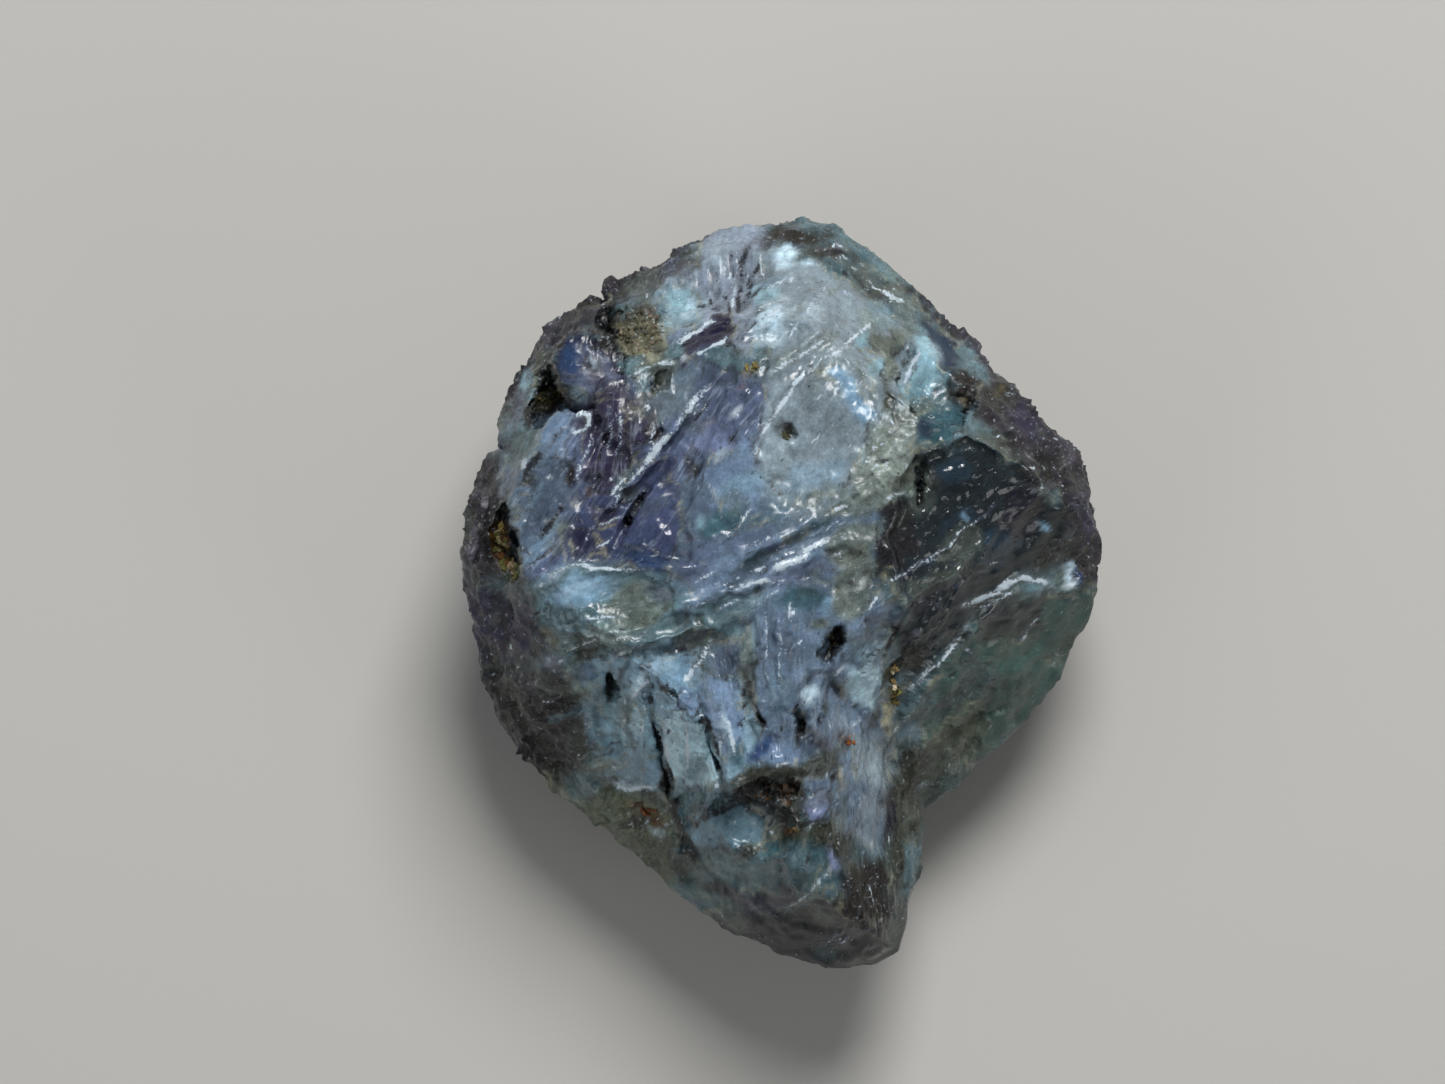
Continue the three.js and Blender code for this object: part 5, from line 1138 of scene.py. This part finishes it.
# The direction of the growth lines at each point, in degrees
def grainAngles(points):
    wander = strayOf(points, *growth["wander"], 21)
    x, y = points[:, 0] + wander[:, 0], points[:, 1] + wander[:, 1]
    angles = np.full(len(points), growth["turn"])
    for *ellipse, angle in grainZones:
        angles[ellipseShare(x, y, *ellipse) < 1] = angle
    return angles


# Coordinates along the growth lines, across them and upwards
def grainCoordinates(points, angles):
    c, s = np.cos(np.radians(angles)), np.sin(np.radians(angles))
    along = points[:, 0] * c + points[:, 1] * s
    across = -points[:, 0] * s + points[:, 1] * c
    return np.stack([along, across, points[:, 2]], axis=1)


skinRelief = {
    "chips": [(0.42, 0.07, 41), (0.2, 0.035, 42), (0.09, 0.012, 43)],  # size of a chip, its height, seed
    "chipBend": (0.3, 0.1),  # size of the noise that bends the chips, and how far it moves them
    "chipSink": 0.9,  # how far chips lie below each other, as a share of their height
    "ribs": [(0.8, 0.11, 0.018, 51), (0.5, 0.06, 0.009, 52)],  # length and width of a rib, its height, seed
    "ribDepth": 3,  # size of a rib upwards, as a multiple of its width
    "etch": (0.16, 0.008, 0.3),  # size and height of the etching, and its least share
}


# Relief along the normal: broken chips are shallow bowls of cells at random heights, ribs are noise
# stretched along the growth lines, and etching is fine fractal noise
def reliefOf(points, grain, chips, ribs):
    relief = np.zeros(len(points))
    bendSize, bend = skinRelief["chipBend"]
    sink = skinRelief["chipSink"]
    for size, high, seed in skinRelief["chips"]:
        first, _, mark = cells(points + bend * fractal(points, bendSize, seed)[:, None], size, seed)
        relief += chips * high * ((first / size) ** 2 + (mark - sink) * sink)
    for alongSize, acrossSize, high, seed in skinRelief["ribs"]:
        sizes = (alongSize, acrossSize, skinRelief["ribDepth"] * acrossSize)
        relief += ribs * high * noise(grain / sizes, 1, seed)
    size, high, least = skinRelief["etch"]
    relief += high * fractal(points, size, 61) * (least + chips)
    return relief


strokeLook = {
    "wander": (0.2, 0.015),  # size of the noise that bends the strokes, and how far it moves them
    "breaks": (0.09, 0.5),  # size of the noise that fades them in places, and what is left there
    "bellWidth": 0.6,  # of the bell curve, as a share of the stroke's width
    "underCrisp": 0.5,  # share of a crisp line that colours the zone under it
    "leastHeight": 0.25,  # share of a stroke's height where the skin has no ribs
    "least": (0.4, 0.4, 0.7),  # least shares of a random stroke's length, strength and width
    "bend": 0.12,  # of a random stroke, as a share of its half length
    "seed": 5,
}


# A stroke's weight: exp(-(distance / width)^2), thinning towards both ends
def strokeWeight(x, y, width, line):
    apart, along = lineDistance(x, y, line)
    ends = np.sqrt(np.clip(4 * along * (1 - along), 0, 1))
    return np.exp(-((apart / width) ** 2)) * ends


# The strokes of the groups, bent a little, and of random place, length, strength and width
def randomStrokes():
    random = np.random.default_rng(strokeLook["seed"])
    shortest, weakest, thinnest = strokeLook["least"]
    made = []
    for kind, strength, width, height, count, length, *ellipse, angle, stray in strokeGroups:
        for _ in range(count):
            x, y = placeIn(random, *ellipse)
            direction = math.radians(angle + random.normal() * stray)
            reach = length * (shortest + random.random()) / 2
            dx, dy = reach * math.cos(direction), reach * math.sin(direction)
            bend = random.normal() * strokeLook["bend"]
            line = (x - dx, y - dy, x - dy * bend, y + dx * bend, x + dx, y + dy)
            share = strength * (weakest + 0.6 * random.random())
            thick = width * (thinnest + 0.6 * random.random())
            made.append((kind, share, thick, height, *line))
    return made


# The single strokes in millimetres, then the random ones
def allStrokes():
    single = [(*row[:4], *(np.array(row[4:]) / hundredths)) for row in strokes]
    return single + randomStrokes()


# Kinds that are drawn as crisp lines: pale ones as crisp pale lines, which paint glints of light among
# others, dark ones as slits
crispKinds = {
    "glints": {"glint", "lilacGlint", "milk", "cream", "rimPale"},
    "slits": {"ink", "black", "brown", "navy", "oliveDark", "indigo"},
}


# The strokes' colour and finish are laid on the zones, and their heights are added up. Pale and dark ones
# are also kept as weights, from which the material makes crisp pale lines, painted glints of light among
# them, and slits.
def drawStrokes(points, rows, upward):
    rows, height = rows.copy(), np.zeros(len(points))
    crisp = {"glints": np.zeros(len(points)), "slits": np.zeros(len(points))}
    wander = strayOf(points, *strokeLook["wander"], 81, 1)
    size, faded = strokeLook["breaks"]
    broken = faded + (1 - faded) * smoothStep(-0.3, 0.3, noise(points, size, 83))
    for kind, strength, width, high, *line in allStrokes():
        line, margin = np.reshape(line, (-1, 2)), 3 * width
        low, far = np.min(line, axis=0) - margin, np.max(line, axis=0) + margin
        near = np.flatnonzero(((points[:, :2] > low) & (points[:, :2] < far)).all(axis=1) & (upward > 0))
        if len(near) == 0:
            continue
        x, y = (points[near, :2] + wander[near]).T
        weight = strokeWeight(x, y, width * strokeLook["bellWidth"], line) * upward[near] * broken[near]
        group = next((name for name, kinds in crispKinds.items() if kind in kinds), None)
        if group:
            crisp[group][near] = np.maximum(crisp[group][near], strength * weight)
        painted = strokeLook["underCrisp"] if group else 1
        rows[near, :5] = layOn(rows[near], kind, painted * strength * weight)[:, :5]
        height[near] += high * weight * np.minimum(strokeLook["leastHeight"] + rows[near, 6], 1)
    return rows, height, crisp


finish = {
    "bend": (0.5, 0.05),  # size of the noise that bends the main faces, and how far it moves them
    "strokeHeights": (1.4, 1.9),  # strokes set in between these
    "strokeSlopes": (0.05, 0.4),  # and between these upward parts of the normal
    "chipped": (1.2, 0.35),  # relief for each share of chips, and more where there are any
    "reliefHeight": 0.3,  # the relief sets in below this
    # Kind laid on, its strength, and between which pit depths, reliefs or noise levels it sets in
    # The pits' and hollows' kinds are painted shade: black on the pits' floors by their depth, dark olive in
    # the relief's hollows
    "pits": ("black", 0.65, 0.06, 0.24),
    "hollowShade": ("oliveDark", 0.5, -0.012, -0.045),
    "stains": ("olive", 0.4, 0.35, 0.9),
    "stainSize": 0.45,
    "shade": (0.35, 0.24),  # size and strength of the broad light and dark
    "grit": (0.05, 0.9, 0.15),  # the same for the fine ones, and the frost above which they show
}


# Rows of colour and finish with a kind laid on where a value goes from its low to its high level
def layBetween(rows, look, values):
    kind, strength, low, high = look
    return layOn(rows, kind, strength * smoothStep(low, high, values))


# The crystal: main shape, zones, strokes, relief, and the values that the material reads at each corner
def makeCrystal():
    rays, corners, sizes = closedGrid()
    middle = np.array(shape["middle"])
    rough = middle + rays * skinReach(rays)[:, None]
    bent = rough - middle + strayOf(rough, *finish["bend"], 1, axes=3)
    bent /= np.linalg.norm(bent, axis=1)[:, None]
    points, pitted = carveFront(middle + rays * skinReach(bent)[:, None])
    print("crystal: main shape,", len(points), "corners")

    rows = paintZones(points)
    # Painted shade in the pits, by their depth
    rows = layBetween(rows, finish["pits"], pitted)
    angles = grainAngles(points)
    grain = grainCoordinates(points, angles)
    mesh = makeMesh("crystalSkin", points, corners, sizes)
    normals = np.zeros(len(points) * 3, np.float32)
    mesh.vertices.foreach_get("normal", normals)
    normals = normals.reshape(-1, 3).astype(float)
    upward = smoothStep(*finish["strokeSlopes"], normals[:, 2])
    upward = upward * smoothStep(*finish["strokeHeights"], points[:, 2])
    rows, height, crisp = drawStrokes(points, rows, upward)
    print("crystal: zones and", len(strokes) + len(randomStrokes()), "strokes")

    perChip, anyChip = finish["chipped"]
    chips = perChip * rows[:, 5] + anyChip * smoothStep(0.0, 0.05, rows[:, 5])
    relief = reliefOf(points, grain, chips, rows[:, 6])
    # Painted shade: dark olive where the relief dips
    rows = layBetween(rows, finish["hollowShade"], relief)
    rows = layBetween(rows, finish["stains"], fractal(points, finish["stainSize"], 95))
    relief = (relief + height) * smoothStep(0.0, finish["reliefHeight"], points[:, 2])
    points = points + normals * relief[:, None]
    low = np.array(cadLow) * metre
    high = np.array(cadHigh) * metre
    points = points.clip(low, high)
    mesh.vertices.foreach_set("co", (points / metre).astype(np.float32).ravel())
    mesh.update()

    size, strength = finish["shade"]
    gritSize, gritStrength, leastFrost = finish["grit"]
    grit = gritStrength * (rows[:, 4] - leastFrost).clip(0) * noise(points, gritSize, 92)
    shade = 1 + strength * fractal(points, size, 91) + grit
    colour = np.concatenate([rows[:, :3] * shade[:, None], np.ones((len(points), 1))], axis=1).clip(0, 1)
    for name, kind, field, values in [
        ("tint", "FLOAT_COLOR", "color", colour), ("clarity", "FLOAT", "value", rows[:, 3]),
        ("frost", "FLOAT", "value", rows[:, 4]), ("ribbing", "FLOAT", "value", rows[:, 6]),
        ("grain", "FLOAT_VECTOR", "vector", grain), ("glints", "FLOAT", "value", crisp["glints"]),
        ("slits", "FLOAT", "value", crisp["slits"]),
    ]:
        attribute = mesh.attributes.new(name, kind, "POINT")
        attribute.data.foreach_set(field, values.astype(np.float32).ravel())
    piece = addPiece("alexandriteCrystal", mesh)
    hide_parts("crystal")
    return piece, points


# Small iron-stained grains in the pits. Each group: x, y, half sizes along and across, turn, how many
# grains, smallest and largest half size, colours
grains = {
    "groups": [
        (-2.75, 0.45, 0.24, 0.07, 96, 60, 0.015, 0.04, "6e4718 7a6a3a 4a3218 8a8060 5a5a30"),
        (-2.64, 0.25, 0.12, 0.05, 110, 12, 0.02, 0.04, "8f9a7a a58f72 6b6a40"),
        (-2.28, 1.95, 0.14, 0.08, 20, 26, 0.015, 0.035, "3c3a20 2a2818 5a5530"),
        (-1.38, 2.6, 0.26, 0.22, 60, 110, 0.008, 0.022, "5e5a4c 6c6450 50524a 74685a"),
        (-0.12, -1.97, 0.26, 0.08, 8, 30, 0.015, 0.035, "2a2018 3a2e20 54402c 1c1814"),
        (0.51, -0.48, 0.14, 0.06, 76, 8, 0.02, 0.035, "4a4428 2c2a20"),
        (1.14, -0.92, 0.2, 0.04, 92, 14, 0.02, 0.035, "6b6a35 75643f b8ad90"),
        (-1.29, -2.2, 0.1, 0.04, 170, 8, 0.015, 0.03, "7a4a2c 8a5a34"),
        (0.1, -2.35, 0.08, 0.03, 0, 8, 0.015, 0.03, "7a4a2c 5a4a2c"),
        (-0.28, 2.21, 0.08, 0.05, 30, 8, 0.015, 0.03, "7a7040 94884e"),
        (0.68, -1.48, 0.05, 0.02, 0, 5, 0.015, 0.03, "6b3a12 7a4418"),
        (0.06, 1.56, 0.03, 0.05, 0, 5, 0.015, 0.03, "4a4a34 33331f"),
    ],
    "bands": 7,  # rings of corners round a grain, from pole to pole
    "sectors": 10,
    "rough": 0.5,  # how far its corners stray from round, as a share
    "roughSize": 1.9,  # how often the noise of a grain's skin changes along its half size
    "sunk": 0.35,  # part of its half size below the crystal's skin
    "spread": (0.7, 0.6),  # least share of a grain's size and tone, and the random part over it
    "leastHeight": 1.5,  # grains lie on skin above this height
    "seed": 12,
    "mottleSize": 0.02,
    "mottle": (0.6, 1.4),  # darkest and brightest share of a grain's tone
    "bump": (0.6, 0.008),  # strength and height of its fine skin
    "roughness": 0.7,
    "gloss": 0.35,  # specular level
}


# A ball's corners: rings at even angles between two poles, and its faces' corner numbers as flat rows
def ballGrid(bands, sectors):
    polar, turn = np.meshgrid(math.pi * np.arange(1, bands + 1) / (bands + 1),
                              2 * math.pi * np.arange(sectors) / sectors, indexing="ij")
    rings = np.stack([np.sin(polar) * np.cos(turn), np.sin(polar) * np.sin(turn), np.cos(polar)], axis=-1)
    points = np.concatenate([[(0, 0, 1)], rings.reshape(-1, 3), [(0, 0, -1)]])
    around = np.arange(sectors)
    onward = (around + 1) % sectors
    row = 1 + np.arange(bands - 1)[:, None] * sectors
    quads = np.stack([row + around, row + sectors + around, row + sectors + onward, row + onward], axis=-1)
    last = 1 + (bands - 1) * sectors
    cap = np.stack([0 * around, 1 + around, 1 + onward], axis=1)
    foot = np.stack([last + onward, last + around, 0 * around + len(points) - 1], axis=1)
    corners = np.concatenate([quads.ravel(), cap.ravel(), foot.ravel()])
    sizes = np.concatenate([np.full(quads.size // 4, 4), np.full(2 * sectors, 3)])
    return points, corners, sizes


# Each grain is a ball whose corners stray by noise, flattened and turned at random. It sits on the skin's
# corner that is nearest to its random place in the group's ellipse.
def makeGrains(skin):
    random = np.random.default_rng(grains["seed"])
    ball, corners, sizes = ballGrid(grains["bands"], grains["sectors"])
    faceUp = skin[skin[:, 2] > grains["leastHeight"]]
    least, more = grains["spread"]
    allPoints, allColours = [], []
    for *ellipse, count, smallest, largest, colours in grains["groups"]:
        palette = [linear(colour) for colour in colours.split()]
        for _ in range(count):
            x, y = placeIn(random, *ellipse)
            spot = faceUp[np.argmin(np.hypot(faceUp[:, 0] - x, faceUp[:, 1] - y))]
            axes, _ = np.linalg.qr(random.normal(size=(3, 3)))
            place = ball * grains["roughSize"] + 5 * random.random(3)
            stray = 1 + grains["rough"] * noise(place, 1, 71)[:, None]
            halfSize = smallest + (largest - smallest) * random.random() ** 2
            halfSizes = halfSize * (least + more * random.random(3))
            lift = (0, 0, halfSize * (1 - 2 * grains["sunk"]))
            allPoints.append((ball * stray * halfSizes) @ axes.T + spot + lift)
            tone = palette[random.integers(len(palette))] * (least + more * random.random())
            allColours.append(np.tile(tone, (len(ball), 1)))
    total = len(allPoints)
    step = len(ball) * np.arange(total)[:, None]
    mesh = makeMesh("grainSkin", np.concatenate(allPoints), (corners + step).ravel(), np.tile(sizes, total))
    attribute = mesh.attributes.new("rockTint", "FLOAT_VECTOR", "POINT")
    attribute.data.foreach_set("vector", np.concatenate(allColours).clip(0, 1).astype(np.float32).ravel())
    mesh.shade_flat()
    return addPiece("hostRockGrains", mesh)


# Iron-stained host rock: dull, mottled by noise, with a fine rough skin
def hostRockMaterial():
    material = bpy.data.materials.new("ironStainedHostRock")
    material.use_nodes = True
    tree = material.node_tree
    surface = tree.nodes["Principled BSDF"]
    tint = addNode(tree, "Attribute", {"attribute_name": "rockTint"}).outputs["Vector"]
    place = addNode(tree, "TexCoord").outputs["Object"]
    scale = metre / grains["mottleSize"]
    mottle = addNode(tree, "TexNoise", Vector=place, Scale=scale, Detail=3.0).outputs["Fac"]
    darkest, brightest = grains["mottle"]
    spread = addNode(tree, "MapRange", Value=mottle, at1=0.3, at2=0.7, at3=darkest, at4=brightest).outputs[0]
    colour = addNode(tree, "VectorMath", {"operation": "SCALE"}, at0=tint, Scale=spread).outputs[0]
    strength, high = grains["bump"]
    bump = addNode(tree, "Bump", Strength=strength, Distance=high / metre, Height=mottle).outputs[0]
    tree.links.new(colour, surface.inputs["Base Color"])
    tree.links.new(bump, surface.inputs["Normal"])
    surface.inputs["Roughness"].default_value = grains["roughness"]
    surface.inputs["Specular IOR Level"].default_value = grains["gloss"]
    return material


# Adds a node with its settings, and fills its sockets with values or links
def addNode(tree, kind, settings=None, **sockets):
    node = tree.nodes.new("ShaderNode" + kind)
    for name, value in (settings or {}).items():
        setattr(node, name, value)
    for key, value in sockets.items():
        place = int(key[2:]) if key[:2] == "at" and key[2:].isdigit() else key.replace("_", " ")
        if isinstance(value, bpy.types.NodeSocket):
            tree.links.new(value, node.inputs[place])
        else:
            node.inputs[place].default_value = value
    return node


gem = {
    "ior": 1.745,
    "gloss": 0.18,  # specular level, 0.5 is a clean face's
    "absorb": ("6f9fb4", 2400),  # colour of the clear mineral and density per metre
    "growthLines": (1.1, 26, 9),  # growth lines per mm along, across and up
    "filaments": (0.8, 6, 4),  # thin bright filaments, as the growth lines
    "dashes": (9, 26, 14),  # short bright and dark dashes, as the growth lines
    "filamentWidth": 0.035,  # share of the noise's range round its middle
    "veinAndGlintColour": "ccdbe6",
    "slitColour": (0.004, 0.004, 0.006, 1),  # linear
    "veils": (0.11, 0.28),  # size of the milky veils in mm, and how far they change the brightness
    "grit": (0.03, 0.18),  # the same for the finest grain
    "patchSize": 0.5,  # mm, where filaments, sparks and gaps come and go
    "fleckSize": 0.05,  # mm
    # Levels of a noise or weight at which an effect starts and is full, and its strength
    "lineLevels": (0.58, 0.72, 0.4),
    "patchLevels": (0.45, 0.6, 0.7),
    "frosted": (0.24, 0.5, 0.8),
    # The pale flecks, glints and sparks are painted highlights, specks and lines of light laid into the
    # colour
    "paintedSparkle": (0.62, 0.74, 1.0),
    "darkFlecks": (0.42, 0.34, 1.0),
    "glints": (0.28, 0.42, 0.95),
    "slits": (0.3, 0.5, 0.85),
    "sparks": (0.66, 0.72, 0.6),
    "gaps": (0.35, 0.29, 0.7),
    "ragged": 1.2,  # how much the finest grain breaks the edges of glints and slits
    "glow": 0.3,  # part of the milky light that spreads under the skin
    "glowDepth": 0.2,  # mm
    "glowReach": (0.6, 0.8, 1.0),  # red, green and blue
    "bump": (0.5, 0.012),  # strength, and height in mm
}


# Alexandrite is chrysoberyl, a clear gem mineral of high index. This piece is broken, not cut: it has glassy
# shell-like breaks, milky zones full of fine veils, and frosted rims. So it's part diffuse and part clear,
# zone by zone.
def alexandriteMaterial():
    material = bpy.data.materials.new("brokenAlexandrite")
    material.use_nodes = True
    tree = material.node_tree
    surface = tree.nodes["Principled BSDF"]
    output = tree.nodes["Material Output"]

    def attribute(name, field="Fac"):
        return addNode(tree, "Attribute", {"attribute_name": name}).outputs[field]

    def combine(operation, first, second=0.0, clamp=False):
        settings = {"operation": operation, "use_clamp": clamp}
        return addNode(tree, "Math", settings, at0=first, at1=second).outputs[0]

    def times(first, second, clamp=False):
        return combine("MULTIPLY", first, second, clamp)

    def spread(value, low, high, least, most):
        return addNode(tree, "MapRange", Value=value, at1=low, at2=high, at3=least, at4=most).outputs[0]

    def blend(share, first, second):
        return addNode(tree, "Mix", {"data_type": "RGBA"}, at0=share, at6=first, at7=second).outputs[2]

    def rise(value, name):
        start, full, most = gem[name]
        return spread(value, start, full, 0.0, most)

    def contrast(value, share):
        return spread(value, 0.3, 0.7, 1 - share, 1 + share)

    def cloudy(vector, scale, detail):
        node = addNode(tree, "TexNoise", Vector=vector, Scale=scale, Detail=detail, Roughness=0.6)
        return node.outputs["Fac"]

    def alongGrain(perMm, detail):
        return cloudy(addNode(tree, "Mapping", Vector=grain, Scale=perMm).outputs["Vector"], 1.0, detail)

    tint, grain = attribute("tint", "Color"), attribute("grain", "Vector")
    clarity, frost, ribbing = attribute("clarity"), attribute("frost"), attribute("ribbing")
    place = addNode(tree, "TexCoord").outputs["Object"]
    pale = (*linear(gem["veinAndGlintColour"]), 1)

    veilSize, veilShare = gem["veils"]
    gritSize, gritShare = gem["grit"]
    veils = cloudy(place, metre / veilSize, 5.0)
    patchy = cloudy(place, metre / gem["patchSize"], 2.0)
    flecks = cloudy(place, metre / gem["fleckSize"], 2.0)
    lines = alongGrain(gem["growthLines"], 3.0)
    offMiddle = combine("ABSOLUTE", combine("SUBTRACT", alongGrain(gem["filaments"], 3.0), 0.5))
    filaments = spread(offMiddle, 0.0, gem["filamentWidth"], 1.0, 0.0)
    filaments = times(filaments, rise(patchy, "patchLevels"))

    fine = cloudy(place, metre / gritSize, 3.0)
    dashes = alongGrain(gem["dashes"], 2.0)
    cloud = times(contrast(veils, veilShare), contrast(fine, gritShare))
    colour = addNode(tree, "VectorMath", {"operation": "SCALE"}, at0=tint, Scale=cloud).outputs[0]
    streaks = combine("MAXIMUM", rise(lines, "lineLevels"), filaments)
    vein = times(streaks, ribbing)
    grainy = rise(frost, "frosted")
    bright = times(rise(flecks, "paintedSparkle"), grainy, clamp=True)
    dark = times(rise(flecks, "darkFlecks"), grainy, clamp=True)
    broken = times(combine("SUBTRACT", fine, 0.5), gem["ragged"])
    glints = rise(combine("ADD", attribute("glints"), broken), "glints")
    slits = rise(combine("ADD", attribute("slits"), broken), "slits")
    # Sparks, painted glints along the grain, and gaps are fewer between the patches; sparks are also fainter
    # in clear zones
    sparks = times(rise(dashes, "sparks"), spread(patchy, 0.42, 0.6, 0.15, 1.0))
    sparks = times(sparks, spread(clarity, 0.12, 0.28, 1.0, 0.25))
    gaps = times(rise(dashes, "gaps"), spread(patchy, 0.58, 0.4, 0.15, 1.0))
    # Painted highlights: pale flecks on frosted skin, the strokes' glints and the sparks are blended to the
    # pale colour
    bright = combine("MAXIMUM", combine("MAXIMUM", bright, glints), sparks)
    dark = combine("MAXIMUM", combine("MAXIMUM", dark, slits), gaps)
    colour = blend(dark, colour, gem["slitColour"])
    colour = blend(vein, colour, pale)
    colour = blend(bright, colour, pale)
    ridges = times(combine("ADD", lines, streaks), ribbing)
    relief = combine("ADD", ridges, times(flecks, times(grainy, 2.0)))
    relief = combine("ADD", relief, combine("SUBTRACT", times(bright, 0.5), dark))
    strength, high = gem["bump"]
    bump = addNode(tree, "Bump", Strength=strength, Distance=high / metre, Height=relief).outputs[0]

    for socket, value in {
        "Base Color": colour, "Roughness": times(frost, cloud, clamp=True),
        "Transmission Weight": combine("SUBTRACT", clarity, vein, clamp=True), "Normal": bump,
    }.items():
        tree.links.new(value, surface.inputs[socket])
    for socket, value in {
        "IOR": gem["ior"], "Specular IOR Level": gem["gloss"], "Subsurface Weight": gem["glow"],
        "Subsurface Scale": gem["glowDepth"] / metre, "Subsurface Radius": gem["glowReach"],
    }.items():
        surface.inputs[socket].default_value = value
    absorbColour, density = gem["absorb"]
    inside = addNode(tree, "VolumeAbsorption", Color=(*linear(absorbColour), 1), Density=density).outputs[0]
    tree.links.new(inside, output.inputs["Volume"])
    return material


studio = {
    "photoWidth": 14.45,  # mm across the photograph at the crystal's widest line
    "framePoint": (-0.57, 0.5, 1.9),  # middle of the picture
    "lens": 300,  # mm, as the sensor's width
    "sensor": 36,
    "floorHalf": 600,  # mm
    "floorColour": "b9b7b2",
    "floorRoughness": 0.8,
    "skyColour": "dfe3e8",
    "skyStrength": (0.2, 0.22),  # at the horizon, and from skyTurn up
    "skyTurn": 0.9,  # upward part of the direction
    # Soft lamps: bearing anticlockwise from +X, angle from overhead, distance and size in mm, power in watts
    "lamps": [(78, 38, 90, 40, 0.079), (215, 58, 100, 70, 0.015), (330, 64, 90, 40, 0.010)],
}


# Straight above, as far away as shows the photograph's width at the height of the frame point
def addCamera():
    camera = bpy.data.cameras.new("camera")
    camera.lens = studio["lens"]
    camera.sensor_width = studio["sensor"]
    camera.clip_start = 0.005
    distance = studio["photoWidth"] * studio["lens"] / studio["sensor"]
    item = addItem("camera", camera)
    x, y, z = studio["framePoint"]
    item.location = (x / metre, y / metre, (z + distance) / metre)
    bpy.context.scene.camera = item


# A lamp on a sphere round the crystal, turned towards it
def addLamp(number, bearing, fromOverhead, distance, size, power):
    lamp = bpy.data.lights.new(f"lamp{number}", "AREA")
    lamp.shape = "DISK"
    lamp.size = size / metre
    lamp.energy = power
    item = addItem(f"lamp{number}", lamp)
    a, e = math.radians(bearing), math.radians(fromOverhead)
    away = np.array([math.sin(e) * math.cos(a), math.sin(e) * math.sin(a), math.cos(e)])
    item.location = away * distance / metre
    item.rotation_euler = (0, e, a)
    item.visible_camera = False


# A pale card that the crystal lies on
def addFloor():
    side = studio["floorHalf"]
    points = np.array([(-side, -side, 0), (side, -side, 0), (side, side, 0), (-side, side, 0)], float)
    floor = addItem("floor", makeMesh("floor", points, np.arange(4), np.array([4])))
    material = bpy.data.materials.new("paleCard")
    material.use_nodes = True
    surface = material.node_tree.nodes["Principled BSDF"]
    surface.inputs["Base Color"].default_value = (*linear(studio["floorColour"]), 1)
    surface.inputs["Roughness"].default_value = studio["floorRoughness"]
    floor.data.materials.append(material)


# A plain pale sky that lights the scene from all sides
def addSky():
    world = bpy.data.worlds.new("studio")
    world.use_nodes = True
    tree = world.node_tree
    background = tree.nodes["Background"]
    background.inputs["Color"].default_value = (*linear(studio["skyColour"]), 1)
    # Nearly even, and a little brighter overhead, as in a room with pale walls and ceiling
    direction = addNode(tree, "TexCoord").outputs["Generated"]
    upward = addNode(tree, "SeparateXYZ", Vector=direction).outputs["Z"]
    horizon, overhead = studio["skyStrength"]
    turn = studio["skyTurn"]
    rise = addNode(tree, "MapRange", Value=upward, at1=0.0, at2=turn, at3=horizon, at4=overhead)
    tree.links.new(rise.outputs[0], background.inputs["Strength"])
    bpy.context.scene.world = world


addCamera()
addFloor()
addSky()
for number, lamp in enumerate(studio["lamps"]):
    addLamp(number, *lamp)
print("camera, floor and lights made")

crystal, skin = makeCrystal()
crystal.data.materials.append(alexandriteMaterial())
print("crystal: finished,", len(crystal.data.polygons), "faces")
rock = makeGrains(skin)
rock.data.materials.append(hostRockMaterial())
print("host rock: finished,", len(rock.data.polygons), "faces")

bpy.context.scene.view_settings.view_transform = "Standard"
